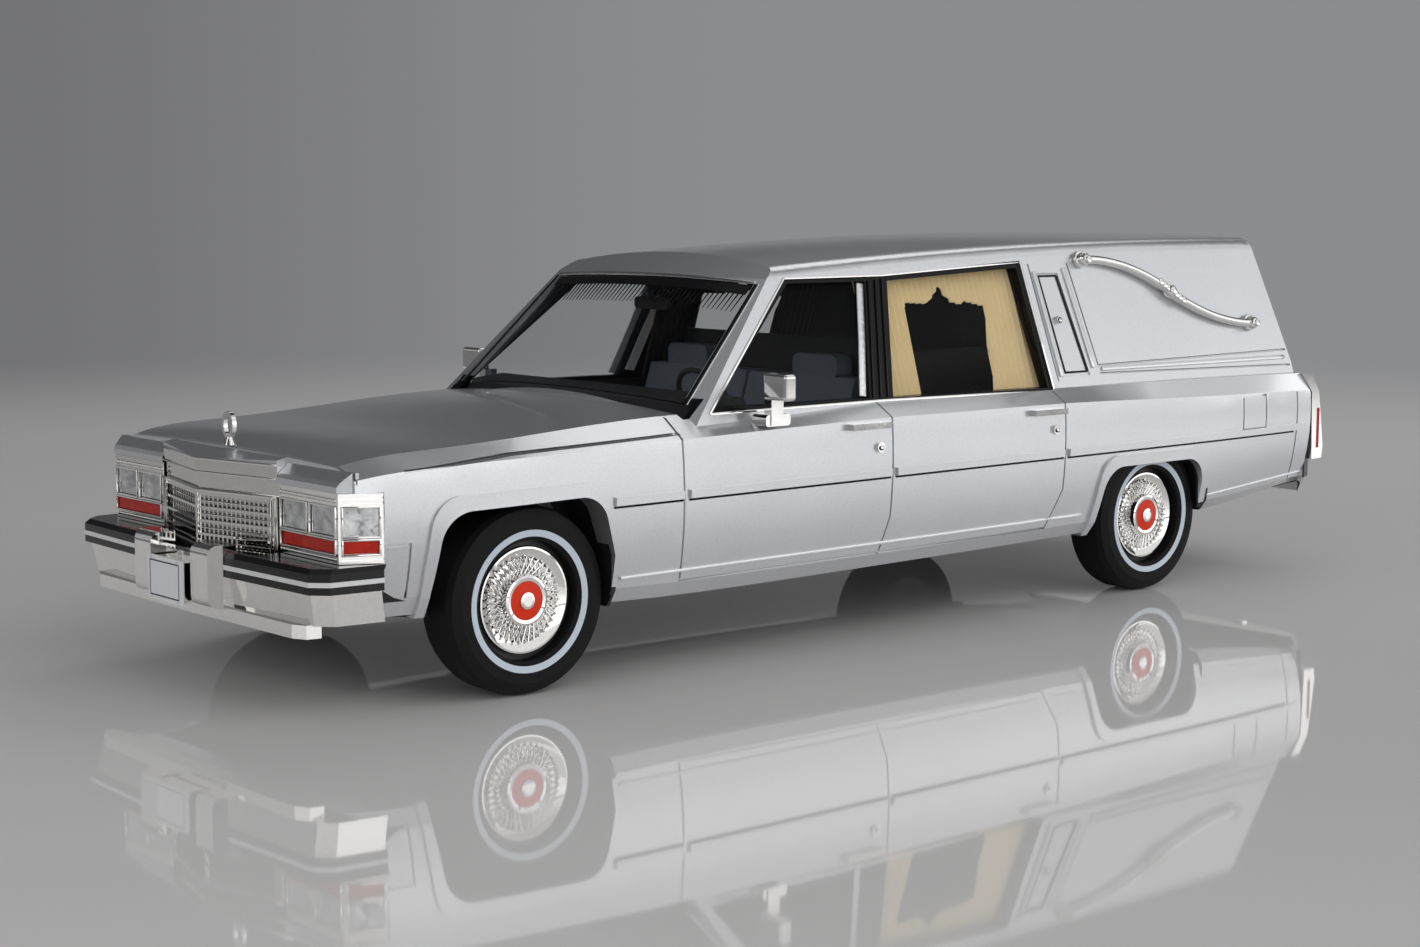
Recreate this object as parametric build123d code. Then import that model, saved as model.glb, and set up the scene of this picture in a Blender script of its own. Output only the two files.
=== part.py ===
from build123d import *
from functools import lru_cache
import math
import os

# Scale model of a hearse on a long commercial chassis, 1:43, in millimetres.
# The nose points to +X, the driver's side to +Y and up is +Z. The origin lies on the ground
# under the middle of the model. Stations are lengths along X from the front axle, forward positive.

# Overall sizes
overall_length = 141.0
front_overhang = 23.5
wheelbase = 85.36
tyre_radius = 8.27
tyre_width = 5.0
front_track_face = 21.2
rear_track_face = 20.7
front_axle_x = overall_length / 2 - front_overhang

# Fits and thin sizes
fit_gap = 0.05
seat_gap = 0.1
turning_gap = 0.08
wall = 1.5
shut_line_width = 0.22
shut_line_depth = 0.25

# Body sections. Columns: station, half width, bottom z, rocker crease z, shoulder z,
# deck edge y, deck edge z, deck crown z
body_sections = [
    (17.0, 20.25, 8.0, 9.8, 19.9, 17.4, 20.8, 21.1),
    (8.0, 21.7, 8.0, 9.6, 20.7, 17.8, 21.65, 22.0),
    (-4.0, 22.2, 7.3, 8.7, 21.0, 18.0, 22.4, 22.85),
    (-20.0, 22.35, 6.85, 8.2, 21.4, 18.3, 23.15, 23.95),
    (-43.0, 22.4, 7.0, 8.3, 21.75, 20.1, 23.1, 23.9),
    (-68.0, 22.4, 7.3, 8.6, 21.7, 20.3, 23.1, 23.7),
    (-90.0, 22.35, 7.9, 9.1, 21.2, 21.2, 23.05, 23.5),
    (-113.4, 21.7, 9.8, 10.6, 20.8, 21.1, 22.8, 23.1),
]
body_bays = 12
rocker_inset = 1.05
floor_inset = 1.9
side_bulge_height = 0.42

# Greenhouse sections. Columns: station, roof edge z, roof crown z
roof_sections = [
    (-12.0, 34.7, 35.9),
    (-34.0, 36.3, 37.45),
    (-57.7, 37.6, 38.65),
    (-85.0, 38.35, 39.0),
    (-113.4, 38.3, 38.65),
]
greenhouse_low_z = 21.6
greenhouse_ref_y = 20.3
greenhouse_ref_z = 22.8
greenhouse_slope = 0.33
roof_corner = 1.25

# Windshield and roof header, both bowed in plan
windshield_base_station = -17.93
windshield_base_z = 23.36
windshield_rake = 1.041
windshield_bow_radius = 80.0
header_rake = 1.63
header_base_station = -30.25
header_base_z = 35.2

# Tail: the rear face leans forward above the deck. The rear door line is half width, z.
tail_deck_station = -112.1
tail_roof_station = -109.3
rear_door_line = [(17.4, 13.2), (17.4, 23.0), (15.2, 36.7)]

# Wheel arches. Points are station, z from the front foot round to the rear foot.
front_arch_opening = [(10.3, 3.0), (10.1, 10.0), (9.2, 16.75), (-6.8, 17.1), (-8.6, 11.5), (-8.6, 3.0)]
front_arch_lip = [(11.2, 3.0), (10.9, 12.0), (10.2, 18.15), (-6.6, 18.45), (-9.1, 12.0), (-9.1, 3.0)]
rear_arch_opening = [(-73.6, 3.0), (-75.9, 14.4), (-92.4, 14.4), (-92.9, 3.0)]
rear_arch_lip = [(-72.7, 3.0), (-75.1, 15.65), (-93.4, 15.65), (-93.8, 3.0)]
arch_corner_radius = 3.0
lip_stand_out = 0.3
wheel_well_gap = 0.6
wheel_well_inner_y = 14.6
skin_over_wheel = 21.3

# Side glazing. Points are station, z.
side_opening = [(-21.2, 23.25), (-34.1, 35.1), (-47.5, 35.15), (-68.3, 36.15), (-69.1, 22.95)]
front_door_window = [(-22.0, 23.6), (-34.5, 34.7), (-45.0, 34.7), (-42.2, 23.5)]
rear_door_window = [(-45.45, 23.4), (-48.15, 34.7), (-67.8, 35.65), (-68.5, 23.2)]
glass_depth = 0.45
glass_thick = 0.5
frame_depth = 0.1
frame_thick = 1.2

# Windshield opening in front view: y, z
windshield_low_y = 17.3
windshield_low_z = 23.85
windshield_low_crown_z = 24.5
windshield_high_y = 15.2
windshield_high_z = 34.7
windshield_high_crown_z = 35.15

# Rear door window in rear view: half widths at its sill and head
tail_window_low_y = 14.6
tail_window_low_z = 25.4
tail_window_high_y = 12.4
tail_window_high_z = 35.6
tail_window_corner = 1.2

# Shut lines in side view, both sides. Each is a run of station, z points.
door_shut_lines = [
    [(-17.2, 22.9), (-16.2, 21.3), (-16.7, 8.4)],
    [(-42.9, 23.3), (-43.1, 12.0), (-42.1, 8.4)],
    [(-68.6, 23.2), (-68.8, 12.6), (-66.8, 8.7)],
    [(-16.7, 8.4), (-66.8, 8.65)],
    [(-110.7, 10.6), (-110.7, 20.6)],
    [(12.2, 9.9), (12.2, 14.4), (15.3, 14.4)],
]
landau_lines = [
    [(-75.9, 35.9), (-77.25, 25.15), (-111.2, 25.5)],
    [(-77.4, 24.3), (-111.4, 23.75)],
    [(-69.6, 35.9), (-70.3, 23.9)],
]
vent_opening = [(-70.7, 35.0), (-74.0, 35.0), (-75.6, 24.2), (-71.5, 24.2)]
fuel_door = [(-99.8, 16.95), (-104.3, 16.95), (-104.3, 20.7), (-99.8, 20.7)]

# Body side moulding. Columns: front station, rear station
moulding_runs = [(-8.4, -16.2), (-17.0, -42.7), (-43.5, -68.4), (-69.2, -112.6)]
moulding_front_z = 16.35
moulding_rear_z = 16.65
moulding_height = 0.75
moulding_stand_out = 0.3

# Chassis plate, drawn as station and underside z
plate_underside = [(14.5, 8.3), (8.0, 7.4), (-82.0, 7.2), (-94.0, 8.0), (-110.6, 10.2)]
plate_thick = 1.5
plate_half_width = 18.4
axle_radius = 0.8
carrier_half_length = 2.6
carrier_half_width = 12.6
carrier_low_z = 6.4
carrier_high_z = 10.2
screw_stations = (-14.8, -101.0)
screw_hole_radius = 1.1
screw_hole_depth = 3.2
screw_boss_radius = 2.4
screw_boss_top_z = 12.9

# Wheels
rim_radius = 5.3
whitewall_inner = 5.65
whitewall_outer = 6.24
cover_radius = 4.75
cover_dome = 0.75
cover_ribs = 36
hub_disc_radius = 1.7
hub_boss_radius = 0.75

# Nose
nose_station = 17.0
grille_ridge_station = 20.32
grille_corner_station = 18.05
grille_half_width = 9.86
grille_low_z = 11.6
grille_top_z = 20.25
grille_cap_low_z = 19.3
grille_header_low_z = 17.65
grille_bars_per_half = 17
grille_rows = 5
grille_row_pitch = 1.17
grille_bar = 0.22
header_panel_z = 21.0
ornament_station = 16.9
ornament_base_z = 21.25
cap_low_z = 18.9
cap_nose_z = 19.4
cap_top_z = 20.55
hood_line_station = 16.75
hood_side_line = [(12.6, 20.45), (2.0, 21.15), (-16.6, 21.75)]

# Lamp bezels. The wrap runs from the front corner back along the fender.
bezel_front_station = 18.0
bezel_inner_y = 10.15
bezel_corner_y = 19.25
bezel_rear_station = 14.65
bezel_rear_y = 20.85
bezel_depth = 0.85
bezel_low_z = 13.05
bezel_top_z = 18.85
lamp_low_z = 15.3
lamp_high_z = 17.65
turn_low_z = 13.85
turn_high_z = 14.95
# Columns: inner y, outer y of each clear front lamp
lamp_bays = [(10.5, 14.5), (15.05, 18.9)]
# Columns: start and end of the side lamp along the wrap
side_lamp_run = (0.3, 3.4)
lens_depth = 0.5
# Columns: low z, high z of the fine grooves round each bezel
bezel_grooves = [(18.0, 18.15), (18.4, 18.55), (13.35, 13.5)]
bezel_groove_depth = 0.12

# Front bumper. Plan points are station, y from the end of the side to the middle.
front_bumper_plan = [(15.0, 20.95), (19.4, 20.45), (20.7, 19.2), (21.6, 0.0)]
front_bumper_back = [(15.0, 20.3), (16.9, 19.9), (16.9, 10.2), (20.45, 10.0), (20.45, 0.0)]
front_bumper_low_z = 8.15
bumper_bar_low_z = 10.9
bumper_middle_top_z = 12.3
bumper_tuck = 0.5
rub_strip_stand_out = 0.42
rub_strip_edge_z = 12.6
rub_strip_top_z = 13.0
stripe_low_z = 11.55
stripe_high_z = 11.95
stripe_stand_out = 0.08
guard_inner_y = 3.5
guard_outer_y = 7.1
guard_front_station = 22.9
guard_top_z = 13.6
guard_round = 0.9
guard_chamfer = 0.7
valance_plan = [(19.2, 18.4), (20.5, 18.2), (21.1, 16.9), (21.4, 0.0)]
valance_back_station = 19.2
valance_low_z = 7.0

# Rear bumper
rear_bumper_plan = [(-113.4, 20.9), (-115.4, 19.9), (-117.0, 17.4), (-117.3, 0.0)]
rear_bumper_low_z = 8.8
rear_bar_low_z = 10.4
rear_bumper_top_z = 12.55
tail_station = -113.4

# Plates
number_plate_width = 5.9
number_plate_height = 3.87
number_plate_thick = 0.3
number_plate_station = front_overhang - number_plate_thick
number_plate_low_z = 8.05
rear_plate_low_z = 15.4

# Tail lamps
tail_lamp_inner_y = 18.9
tail_lamp_outer_y = 21.75
# Side outline, station and z, from the top front corner round to the front
tail_lamp_outline = [(-111.9, 22.8), (-113.5, 22.6), (-115.0, 20.55), (-115.6, 17.1), (-116.05, 14.0),
                     (-115.85, 12.65), (-113.9, 12.6), (-113.55, 20.55)]
tail_lens_low_z = 13.9
tail_lens_high_z = 18.6
tail_lens_depth = 0.45

# Mirrors and handles
mirror_front_station = -25.8
mirror_depth = 1.5
mirror_outer_y = 25.5
mirror_width = 3.2
mirror_low_z = 24.4
mirror_top_z = 26.85
mirror_round = 0.35
# Columns: front, rear, inner y, outer y, low z, high z
mirror_arm = (-26.4, -27.9, 22.0, 23.0, 22.0, 24.6)
mirror_foot = (-25.8, -28.9, 21.0, 22.9, 21.9, 23.0)
handle_runs = [(-36.9, -42.1, 21.15), (-63.2, -68.2, 21.0)]
lock_places = [(-41.1, 19.0), (-67.0, 19.1)]
lock_radius = 0.5

# Landau bar on each rear quarter
bar_front_station = -77.9
bar_front_z = 36.4
bar_middle_station = -91.5
bar_middle_z = 32.7
bar_rear_station = -105.1
bar_rear_z = 28.8
bar_radius = 0.44
bar_ball_radius = 0.78
bar_stand_off = 0.6

# Cabin
cabin_front_station = -18.9
cabin_rear_station = -110.6
cabin_half_width = 19.2
cabin_floor_z = 9.6
dash_outline = [(-19.2, 23.3), (-20.4, 24.0), (-25.5, 24.5), (-27.6, 24.2), (-28.4, 23.0), (-27.4, 19.6),
                (-23.5, 17.4), (-20.6, 17.4)]
dash_half_width = 17.6
tub_thick = 0.7
cargo_floor_z = 13.2
seat_station = -34.7
seat_depth = 10.0
seat_half_width = 15.8
cushion_top_z = 16.8
seat_back_top_z = 25.0
headrest_top_z = 27.2
headrest_inner_y = 6.6
headrest_outer_y = 13.0
headrest_round = 0.8

# Curtains behind the rear door glass: outline, and the parting that lets the cabin show
curtain_outline = [(-44.9, 22.9), (-47.6, 35.2), (-68.1, 36.0), (-69.0, 22.7)]
curtain_parting = [(-51.15, 20.0), (-51.35, 32.5), (-54.65, 32.9), (-57.25, 33.9), (-58.85, 32.5),
                   (-63.15, 31.8), (-61.75, 20.0)]
curtain_thick = 0.6


def at(station):
    return front_axle_x + station


def green_y(z):
    return greenhouse_ref_y - greenhouse_slope * (z - greenhouse_ref_z)


def section_face(points_and_arcs, x):
    """Face in the plane across the body at x, from a list of edges given in y, z."""
    plane = Plane(origin=(x, 0, 0), x_dir=(0, 1, 0), z_dir=(1, 0, 0))
    return plane * make_face(points_and_arcs)


def body_section(station, half, bottom, rocker, shoulder, deck_y, deck_z, crown, inset):
    half = half - inset
    foot = (half - floor_inset, bottom + inset)
    crease = (half - rocker_inset, rocker + inset * 0.5)
    top = (half - 0.05, shoulder - inset * 0.3)
    middle_z = crease[1] + side_bulge_height * (top[1] - crease[1])
    middle = (half - 0.12, middle_z)
    deck = (deck_y - inset * 0.5, deck_z - inset)
    high = (0, crown - inset)
    left = [foot, crease, middle, top, deck]
    right = [(-y, z) for y, z in left]
    edges = [
        Line(right[0], left[0]),
        Line(left[0], left[1]),
        ThreePointArc(left[1], left[2], left[3]),
        Line(left[3], left[4]),
        ThreePointArc(left[4], high, right[4]),
        Line(right[4], right[3]),
        ThreePointArc(right[3], right[2], right[1]),
        Line(right[1], right[0]),
    ]
    return section_face(edges, at(station))


def eased(table, station, column):
    """Value of a table column at a station, on a smooth line that never overshoots its rows."""
    rows = sorted(table)
    slopes = [(b[column] - a[column]) / (b[0] - a[0]) for a, b in zip(rows, rows[1:])]
    tangents = [slopes[0]]
    for before, after in zip(slopes, slopes[1:]):
        same_way = before * after > 0
        tangents.append(2 * before * after / (before + after) if same_way else 0.0)
    tangents.append(slopes[-1])
    index = max(i for i in range(len(slopes)) if rows[i][0] <= station or i == 0)
    low, high = rows[index], rows[index + 1]
    span = high[0] - low[0]
    t = (station - low[0]) / span
    return (low[column] * (1 + 2 * t) * (1 - t) ** 2 + high[column] * t * t * (3 - 2 * t)
            + span * tangents[index] * t * (1 - t) ** 2 + span * tangents[index + 1] * t * t * (t - 1))


@lru_cache(maxsize=None)
def body_skin(inset):
    """Lower body from the nose to the tail, drawn in by inset."""
    nose, tail = body_sections[0][0], body_sections[-1][0]
    faces = []
    for index in range(body_bays + 1):
        station = nose + (tail - nose) * index / body_bays
        values = [eased(body_sections, station, column) for column in range(1, 8)]
        faces.append(body_section(station, *values, inset))
    return loft(faces)


def roof_section(station, edge_z, crown_z, inset):
    edge_z = edge_z - inset
    side_top = edge_z - roof_corner
    foot = (green_y(greenhouse_low_z) - inset, greenhouse_low_z)
    top = (green_y(side_top + inset) - inset, side_top)
    corner = (green_y(edge_z + inset) - inset - 0.28, edge_z - 0.32)
    over = (green_y(edge_z + inset) - inset - roof_corner, edge_z + 0.06)
    high = (0, crown_z - inset)
    left = [foot, top, corner, over]
    right = [(-y, z) for y, z in left]
    edges = [
        Line(right[0], left[0]),
        Line(left[0], left[1]),
        ThreePointArc(left[1], left[2], left[3]),
        ThreePointArc(left[3], high, right[3]),
        ThreePointArc(right[3], right[2], right[1]),
        Line(right[1], right[0]),
    ]
    return section_face(edges, at(station))


def raked_cylinder(base_station, base_z, rake, inset):
    """All that lies behind a bowed, raked surface."""
    low_z = 15.0
    rise = 30.0
    radius = windshield_bow_radius - inset * 0.7
    centre = at(base_station + rake * (base_z - low_z)) - windshield_bow_radius
    circle = Pos(centre, 0, low_z) * Circle(radius)
    column = extrude(circle, amount=rise * math.hypot(1, rake), dir=(-rake, 0, 1))
    return column


@lru_cache(maxsize=None)
def greenhouse(inset):
    """Cabin and roof above the deck, drawn in by inset."""
    shape = loft([roof_section(*row, inset) for row in roof_sections])
    ahead = Box(70, 60, 40, align=(Align.MIN, Align.CENTER, Align.MIN))
    ahead = Pos(at(-50), 0, greenhouse_low_z - 1) * ahead
    for rake in ((windshield_base_station, windshield_base_z, windshield_rake),
                 (header_base_station, header_base_z, header_rake)):
        shape -= ahead - raked_cylinder(*rake, inset)
    lean = tail_lean(-inset)
    return shape - lean


def tail_lean(step):
    """Space behind the leaning tail face, moved back by step."""
    low = at(tail_deck_station) - step
    high = at(tail_roof_station) - step
    tall = 45.0
    rate = (high - low) / (38.3 - greenhouse_ref_z)
    outline = [
        (low - rate * 5, greenhouse_ref_z - 5),
        (low + rate * (tall - greenhouse_ref_z), tall),
        (low - 20, tall),
        (low - 20, greenhouse_ref_z - 5),
    ]
    return extrude(Plane.XZ * make_face(Polyline(outline, close=True)), amount=30, both=True)


def side_face(points):
    """Face in side view from station, z points."""
    return Plane.XZ * make_face(Polyline([(at(s), z) for s, z in points], close=True))


def through(points):
    """Side outline carried right across the body."""
    return extrude(side_face(points), amount=30, both=True)


def rounded_through(points, corners, radius):
    """Side outline with some corners rounded, carried right across the body."""
    outline = make_face(Polyline([(at(s), z) for s, z in points], close=True))
    picked = []
    for index in corners:
        s, z = points[index]
        spot = Vector(at(s), z)
        picked.append(min(outline.vertices(), key=lambda v: (Vector(v.X, v.Y) - spot).length))
    return extrude(Plane.XZ * fillet(picked, radius), amount=30, both=True)


def strokes(lines, width):
    """Thin slabs across the body along runs of station, z points."""
    slabs = []
    for run in lines:
        for (s1, z1), (s2, z2) in zip(run, run[1:]):
            length = math.hypot(s2 - s1, z2 - z1) + width
            turn = -math.degrees(math.atan2(z2 - z1, s2 - s1))
            place = Pos(at((s1 + s2) / 2), 0, (z1 + z2) / 2) * Rot(0, turn, 0)
            slabs.append(place * Box(length, 60, width))
    return slabs


def block(s1, s2, y1, y2, z1, z2):
    """Box between two stations, two y and two z."""
    size = Box(abs(s2 - s1), abs(y2 - y1), abs(z2 - z1))
    return Pos(at((s1 + s2) / 2), (y1 + y2) / 2, (z1 + z2) / 2) * size


def both_sides(shape):
    """The shape and its mirror image on the other side of the car."""
    return Compound(children=[shape, mirror(shape, about=Plane.XZ)])


def cross_rod(station, z, radius, y1, y2):
    """Round bar across the car."""
    rod = Cylinder(radius, abs(y2 - y1))
    return Pos(at(station), (y1 + y2) / 2, z) * Rot(90, 0, 0) * rod


def upright(station, radius, z1, z2):
    """Round post on the centre line."""
    post = Cylinder(radius, z2 - z1, align=(Align.CENTER, Align.CENTER, Align.MIN))
    return Pos(at(station), 0, z1) * post


def front_view_prism(edges, s1, s2):
    """Outline in y, z carried along the car between two stations."""
    face = section_face(edges, at(min(s1, s2)))
    return extrude(face, amount=abs(s2 - s1), dir=(1, 0, 0))


def plan_face(points, z):
    """Symmetric face in plan from station, y points of its left half."""
    left = [(at(s), y) for s, y in points]
    right = [(x, -y) for x, y in reversed(left) if y > 0]
    return Pos(0, 0, z) * make_face(Polyline(left + right, close=True))


def half_plan(points, z):
    """Face in plan from station, y points, on one side only."""
    return Pos(0, 0, z) * make_face(Polyline([(at(s), y) for s, y in points], close=True))


skin = body_skin(0)
skin_proud = body_skin(-lip_stand_out)
skin_core = body_skin(shut_line_depth)
cabin = greenhouse(0)
cabin_core = greenhouse(shut_line_depth)
cabin_inside = greenhouse(wall)


def windshield_outline(grow):
    """Edges of the windshield opening in front view."""
    low = (windshield_low_y + grow, windshield_low_z - grow)
    high = (windshield_high_y + grow, windshield_high_z + grow)
    return [
        ThreePointArc((-low[0], low[1]), (0, windshield_low_crown_z - grow), low),
        Line(low, high),
        ThreePointArc(high, (0, windshield_high_crown_z + grow), (-high[0], high[1])),
        Line((-high[0], high[1]), (-low[0], low[1])),
    ]


def tail_window_face(grow):
    low = tail_window_low_y + grow
    high = tail_window_high_y + grow
    low_z = tail_window_low_z - grow
    high_z = tail_window_high_z + grow
    face = make_face(Polyline([(-low, low_z), (low, low_z), (high, high_z), (-high, high_z)], close=True))
    face = fillet(face.vertices(), tail_window_corner)
    return Plane(origin=(at(-125), 0, 0), x_dir=(0, 1, 0), z_dir=(1, 0, 0)) * face


def cabin_space():
    """Hollow of the cabin and the load space."""
    lower = block(cabin_front_station, cabin_rear_station, -cabin_half_width, cabin_half_width, 0, 24.5)
    for side in (1, -1):
        housing = block(-72.5, -96.5, side * (wheel_well_inner_y - 1.2), side * 25, 0, 17.6)
        lower -= housing
    footwell = block(-40, -90, -greenhouse_ref_y + wall, greenhouse_ref_y - wall, 20, 24.5)
    upper = cabin_inside - block(-125, -10, -30, 30, 0, greenhouse_low_z + 0.05)
    return lower + (upper + (footwell & cabin_inside))


def wheel_wells():
    """Turning room for each wheel."""
    spaces = []
    for station, face in ((0, front_track_face), (-wheelbase, rear_track_face)):
        for side in (1, -1):
            inner = side * wheel_well_inner_y
            outer = side * skin_over_wheel
            spaces.append(cross_rod(station, tyre_radius, tyre_radius + wheel_well_gap, inner, outer))
    return spaces


def arch_openings():
    hidden = block(20, -120, -wheel_well_inner_y, wheel_well_inner_y, 0, 30)
    front = rounded_through(front_arch_opening, (2, 3), arch_corner_radius)
    rear = rounded_through(rear_arch_opening, (1, 2), arch_corner_radius)
    return [front - hidden, rear - hidden]


def plate_profile(grow):
    """Side outline of the chassis plate, grown by a clearance."""
    low = [(s, z - grow) for s, z in plate_underside]
    low[0] = (low[0][0] + grow, low[0][1])
    low[-1] = (low[-1][0] - grow, low[-1][1])
    high = [(s, z + plate_thick + 2 * grow) for s, z in reversed(low)]
    return low + high


def chassis_recess():
    """Room in the casting for the chassis plate and its axle carriers."""
    low = [(s, 0.0) for s, z in (plate_underside[0], plate_underside[-1])]
    high = plate_profile(fit_gap)[len(plate_underside):]
    recess = extrude(side_face([low[0]] + [low[1]] + high), amount=plate_half_width + fit_gap, both=True)
    rooms = [recess]
    for station in (0, -wheelbase):
        half = carrier_half_length + seat_gap
        width = carrier_half_width + seat_gap
        rooms.append(block(station - half, station + half, -width, width, 0, carrier_high_z + seat_gap))
        rooms.append(cross_rod(station, tyre_radius, axle_radius + turning_gap * 2, -18, 18))
    for station in screw_stations:
        rooms.append(upright(station, screw_boss_radius + seat_gap, 0, screw_boss_top_z + seat_gap))
    return rooms


def v_nose(front, low_z, high_z, back):
    """Wedge ahead of the body, pointed at its middle."""
    plan = [(back, grille_half_width), (grille_corner_station - front, grille_half_width),
            (grille_ridge_station - front, 0.0)]
    return extrude(plan_face(plan, low_z), amount=high_z - low_z)


def nose_panels():
    """Header behind the grille and the two fender caps over the lamps."""
    header = through([(nose_station - 0.6, grille_top_z), (grille_ridge_station, grille_top_z),
                      (grille_ridge_station, grille_top_z + 0.1), (nose_station, header_panel_z),
                      (nose_station - 0.6, header_panel_z)])
    header &= v_nose(0.0, grille_top_z, header_panel_z + 1, nose_station - 0.6)
    front = bezel_front_station + 0.15
    back = nose_station - 0.5
    cap = through([(back, cap_low_z), (front, cap_low_z), (front, cap_nose_z),
                   (front - 0.25, cap_nose_z + 0.35), (nose_station, cap_top_z), (back, cap_top_z)])
    corner = bezel_corner_y + 0.05
    plan = [(nose_station - 0.6, grille_half_width + fit_gap), (front, grille_half_width + fit_gap),
            (front, corner), (nose_station - 0.6, corner + 0.85)]
    region = extrude(half_plan(plan, cap_low_z), amount=3.0)
    return header, both_sides(cap & region)


def wheel_lips():
    """Raised lips round the arches."""
    lips = rounded_through(front_arch_lip, (2, 3), arch_corner_radius)
    lips = lips + rounded_through(rear_arch_lip, (1, 2), arch_corner_radius)
    return (lips & skin_proud) & block(20, -120, -30, 30, 0, 19.5)


def rear_door_groove():
    """Shut line of the rear door in the tail face."""
    def ring(step):
        left = [(y + step, z) for y, z in rear_door_line]
        left[0] = (left[0][0], left[0][1] - step)
        left[-1] = (left[-1][0], left[-1][1] + step)
        outline = left + [(-y, z) for y, z in reversed(left)]
        edges = [Line(a, b) for a, b in zip(outline, outline[1:] + outline[:1])]
        return front_view_prism(edges, -108.0, -116.0)

    ring_wall = ring(shut_line_width / 2) - ring(-shut_line_width / 2)
    low = ring_wall & block(tail_station + shut_line_depth, -116.0, -30, 30, 0, greenhouse_ref_z)
    high = (ring_wall & (cabin - cabin_core)) - block(-100, -120, -30, 30, 0, greenhouse_ref_z)
    return [low, high]


def hood_lines():
    """Shut lines across the header and along both sides of the hood."""
    front = block(hood_line_station, hood_line_station + shut_line_width, -24, 24, 19.6, 24)
    return [front] + strokes([hood_side_line], shut_line_width)


def body_shell():
    outer = skin + cabin + wheel_lips()
    for panel in nose_panels():
        outer += panel
    grooves = (Part() + (strokes(door_shut_lines, shut_line_width) + hood_lines())) - skin_core - cabin_core
    panel_lines = (Part() + strokes(landau_lines, shut_line_width)) - cabin_core - skin_core
    flap = strokes([fuel_door + fuel_door[:1]], shut_line_width)
    flap = (Part() + flap) - skin_core - block(-90, -115, -30, 0, 0, 30)
    outer = outer - grooves - panel_lines - flap - rear_door_groove()
    outer -= cabin_space()
    outer -= wheel_wells()
    outer -= arch_openings()
    outer -= chassis_recess()
    outer -= through(side_opening)
    outer -= through(vent_opening) & (cabin - greenhouse(0.5))
    outer -= front_view_prism(windshield_outline(0), -14.0, -40.0)
    outer -= extrude(tail_window_face(0), amount=25, dir=(1, 0, 0))
    outer -= both_sides(bezel_room())
    outer -= both_sides(tail_lamp_room())
    return outer


def side_frames():
    frame = through(side_opening) - through(front_door_window) - through(rear_door_window)
    return frame & (greenhouse(frame_depth) - greenhouse(frame_depth + frame_thick))


def side_glass(outline):
    return through(outline) & (greenhouse(glass_depth) - greenhouse(glass_depth + glass_thick))


def windshield_glass():
    pane = front_view_prism(windshield_outline(-fit_gap), -14.0, -40.0)
    return pane & (greenhouse(glass_depth) - greenhouse(glass_depth + glass_thick))


def tail_glass():
    pane = extrude(tail_window_face(-fit_gap), amount=25, dir=(1, 0, 0))
    return pane & (greenhouse(glass_depth) - greenhouse(glass_depth + glass_thick))


def vent_panels():
    return through(vent_opening) & (greenhouse(0.12) - greenhouse(0.5))


def moulding_band(s1, s2, height, shift):
    """Side outline of one run of the moulding."""
    def middle(s):
        share = (moulding_runs[0][0] - s) / (moulding_runs[0][0] - moulding_runs[-1][1])
        return moulding_front_z + share * (moulding_rear_z - moulding_front_z) + shift
    return through([(s1, middle(s1) - height / 2), (s1, middle(s1) + height / 2),
                    (s2, middle(s2) + height / 2), (s2, middle(s2) - height / 2)])


def side_mouldings():
    layer = body_skin(-moulding_stand_out) - skin
    runs = [moulding_band(s1, s2, moulding_height, 0.0) & layer for s1, s2 in moulding_runs]
    return Compound(children=runs)


def base_plate():
    plate = extrude(side_face(plate_profile(0)), amount=plate_half_width, both=True)
    for station in (0, -wheelbase):
        half = carrier_half_length
        plate += block(station - half, station + half, -carrier_half_width, carrier_half_width,
                       carrier_low_z, carrier_high_z)
    for station in screw_stations:
        plate += upright(station, screw_boss_radius, plate_bottom(station), screw_boss_top_z)
    sump = block(4.5, -9.0, -5.0, 5.0, 6.1, 8.0)
    sump = chamfer(sump.edges().filter_by(Axis.Z), 1.2)
    plate += sump
    plate += Pos(at(-wheelbase), 0, tyre_radius) * Sphere(2.9)
    shaft = Pos(at(-48.0), 0, 7.6) * Rot(0, 90, 0) * Cylinder(0.9, 68.0)
    plate += shaft
    pipe = Pos(at(-52.0), -9.5, 7.2) * Rot(0, 90, 0) * Cylinder(0.7, 84.0)
    plate += pipe
    muffler = block(-56.0, -66.0, -12.0, -7.0, 6.3, 8.0)
    plate += chamfer(muffler.edges().filter_by(Axis.X), 0.6)
    for rail in (1, -1):
        plate += block(6.0, -92.0, rail * 13.0, rail * 14.2, 6.6, 7.6)
    plate -= block(20, -120, -30, 30, -5, 5.9)
    for station in (0, -wheelbase):
        plate -= cross_rod(station, tyre_radius, axle_radius + turning_gap, -20, 20)
        for side in (1, -1):
            plate -= cross_rod(station, tyre_radius, tyre_radius + wheel_well_gap,
                               side * wheel_well_inner_y, side * 25)
    for station in screw_stations:
        mouth = plate_bottom(station)
        plate -= upright(station, screw_hole_radius, mouth, mouth + screw_hole_depth)
        plate -= upright(station, screw_boss_radius, 0, mouth)
    return plate


def plate_bottom(station):
    """Underside of the chassis plate at a station."""
    for (s1, z1), (s2, z2) in zip(plate_underside, plate_underside[1:]):
        if s2 <= station <= s1:
            return z1 + (z2 - z1) * (station - s1) / (s2 - s1)


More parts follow.
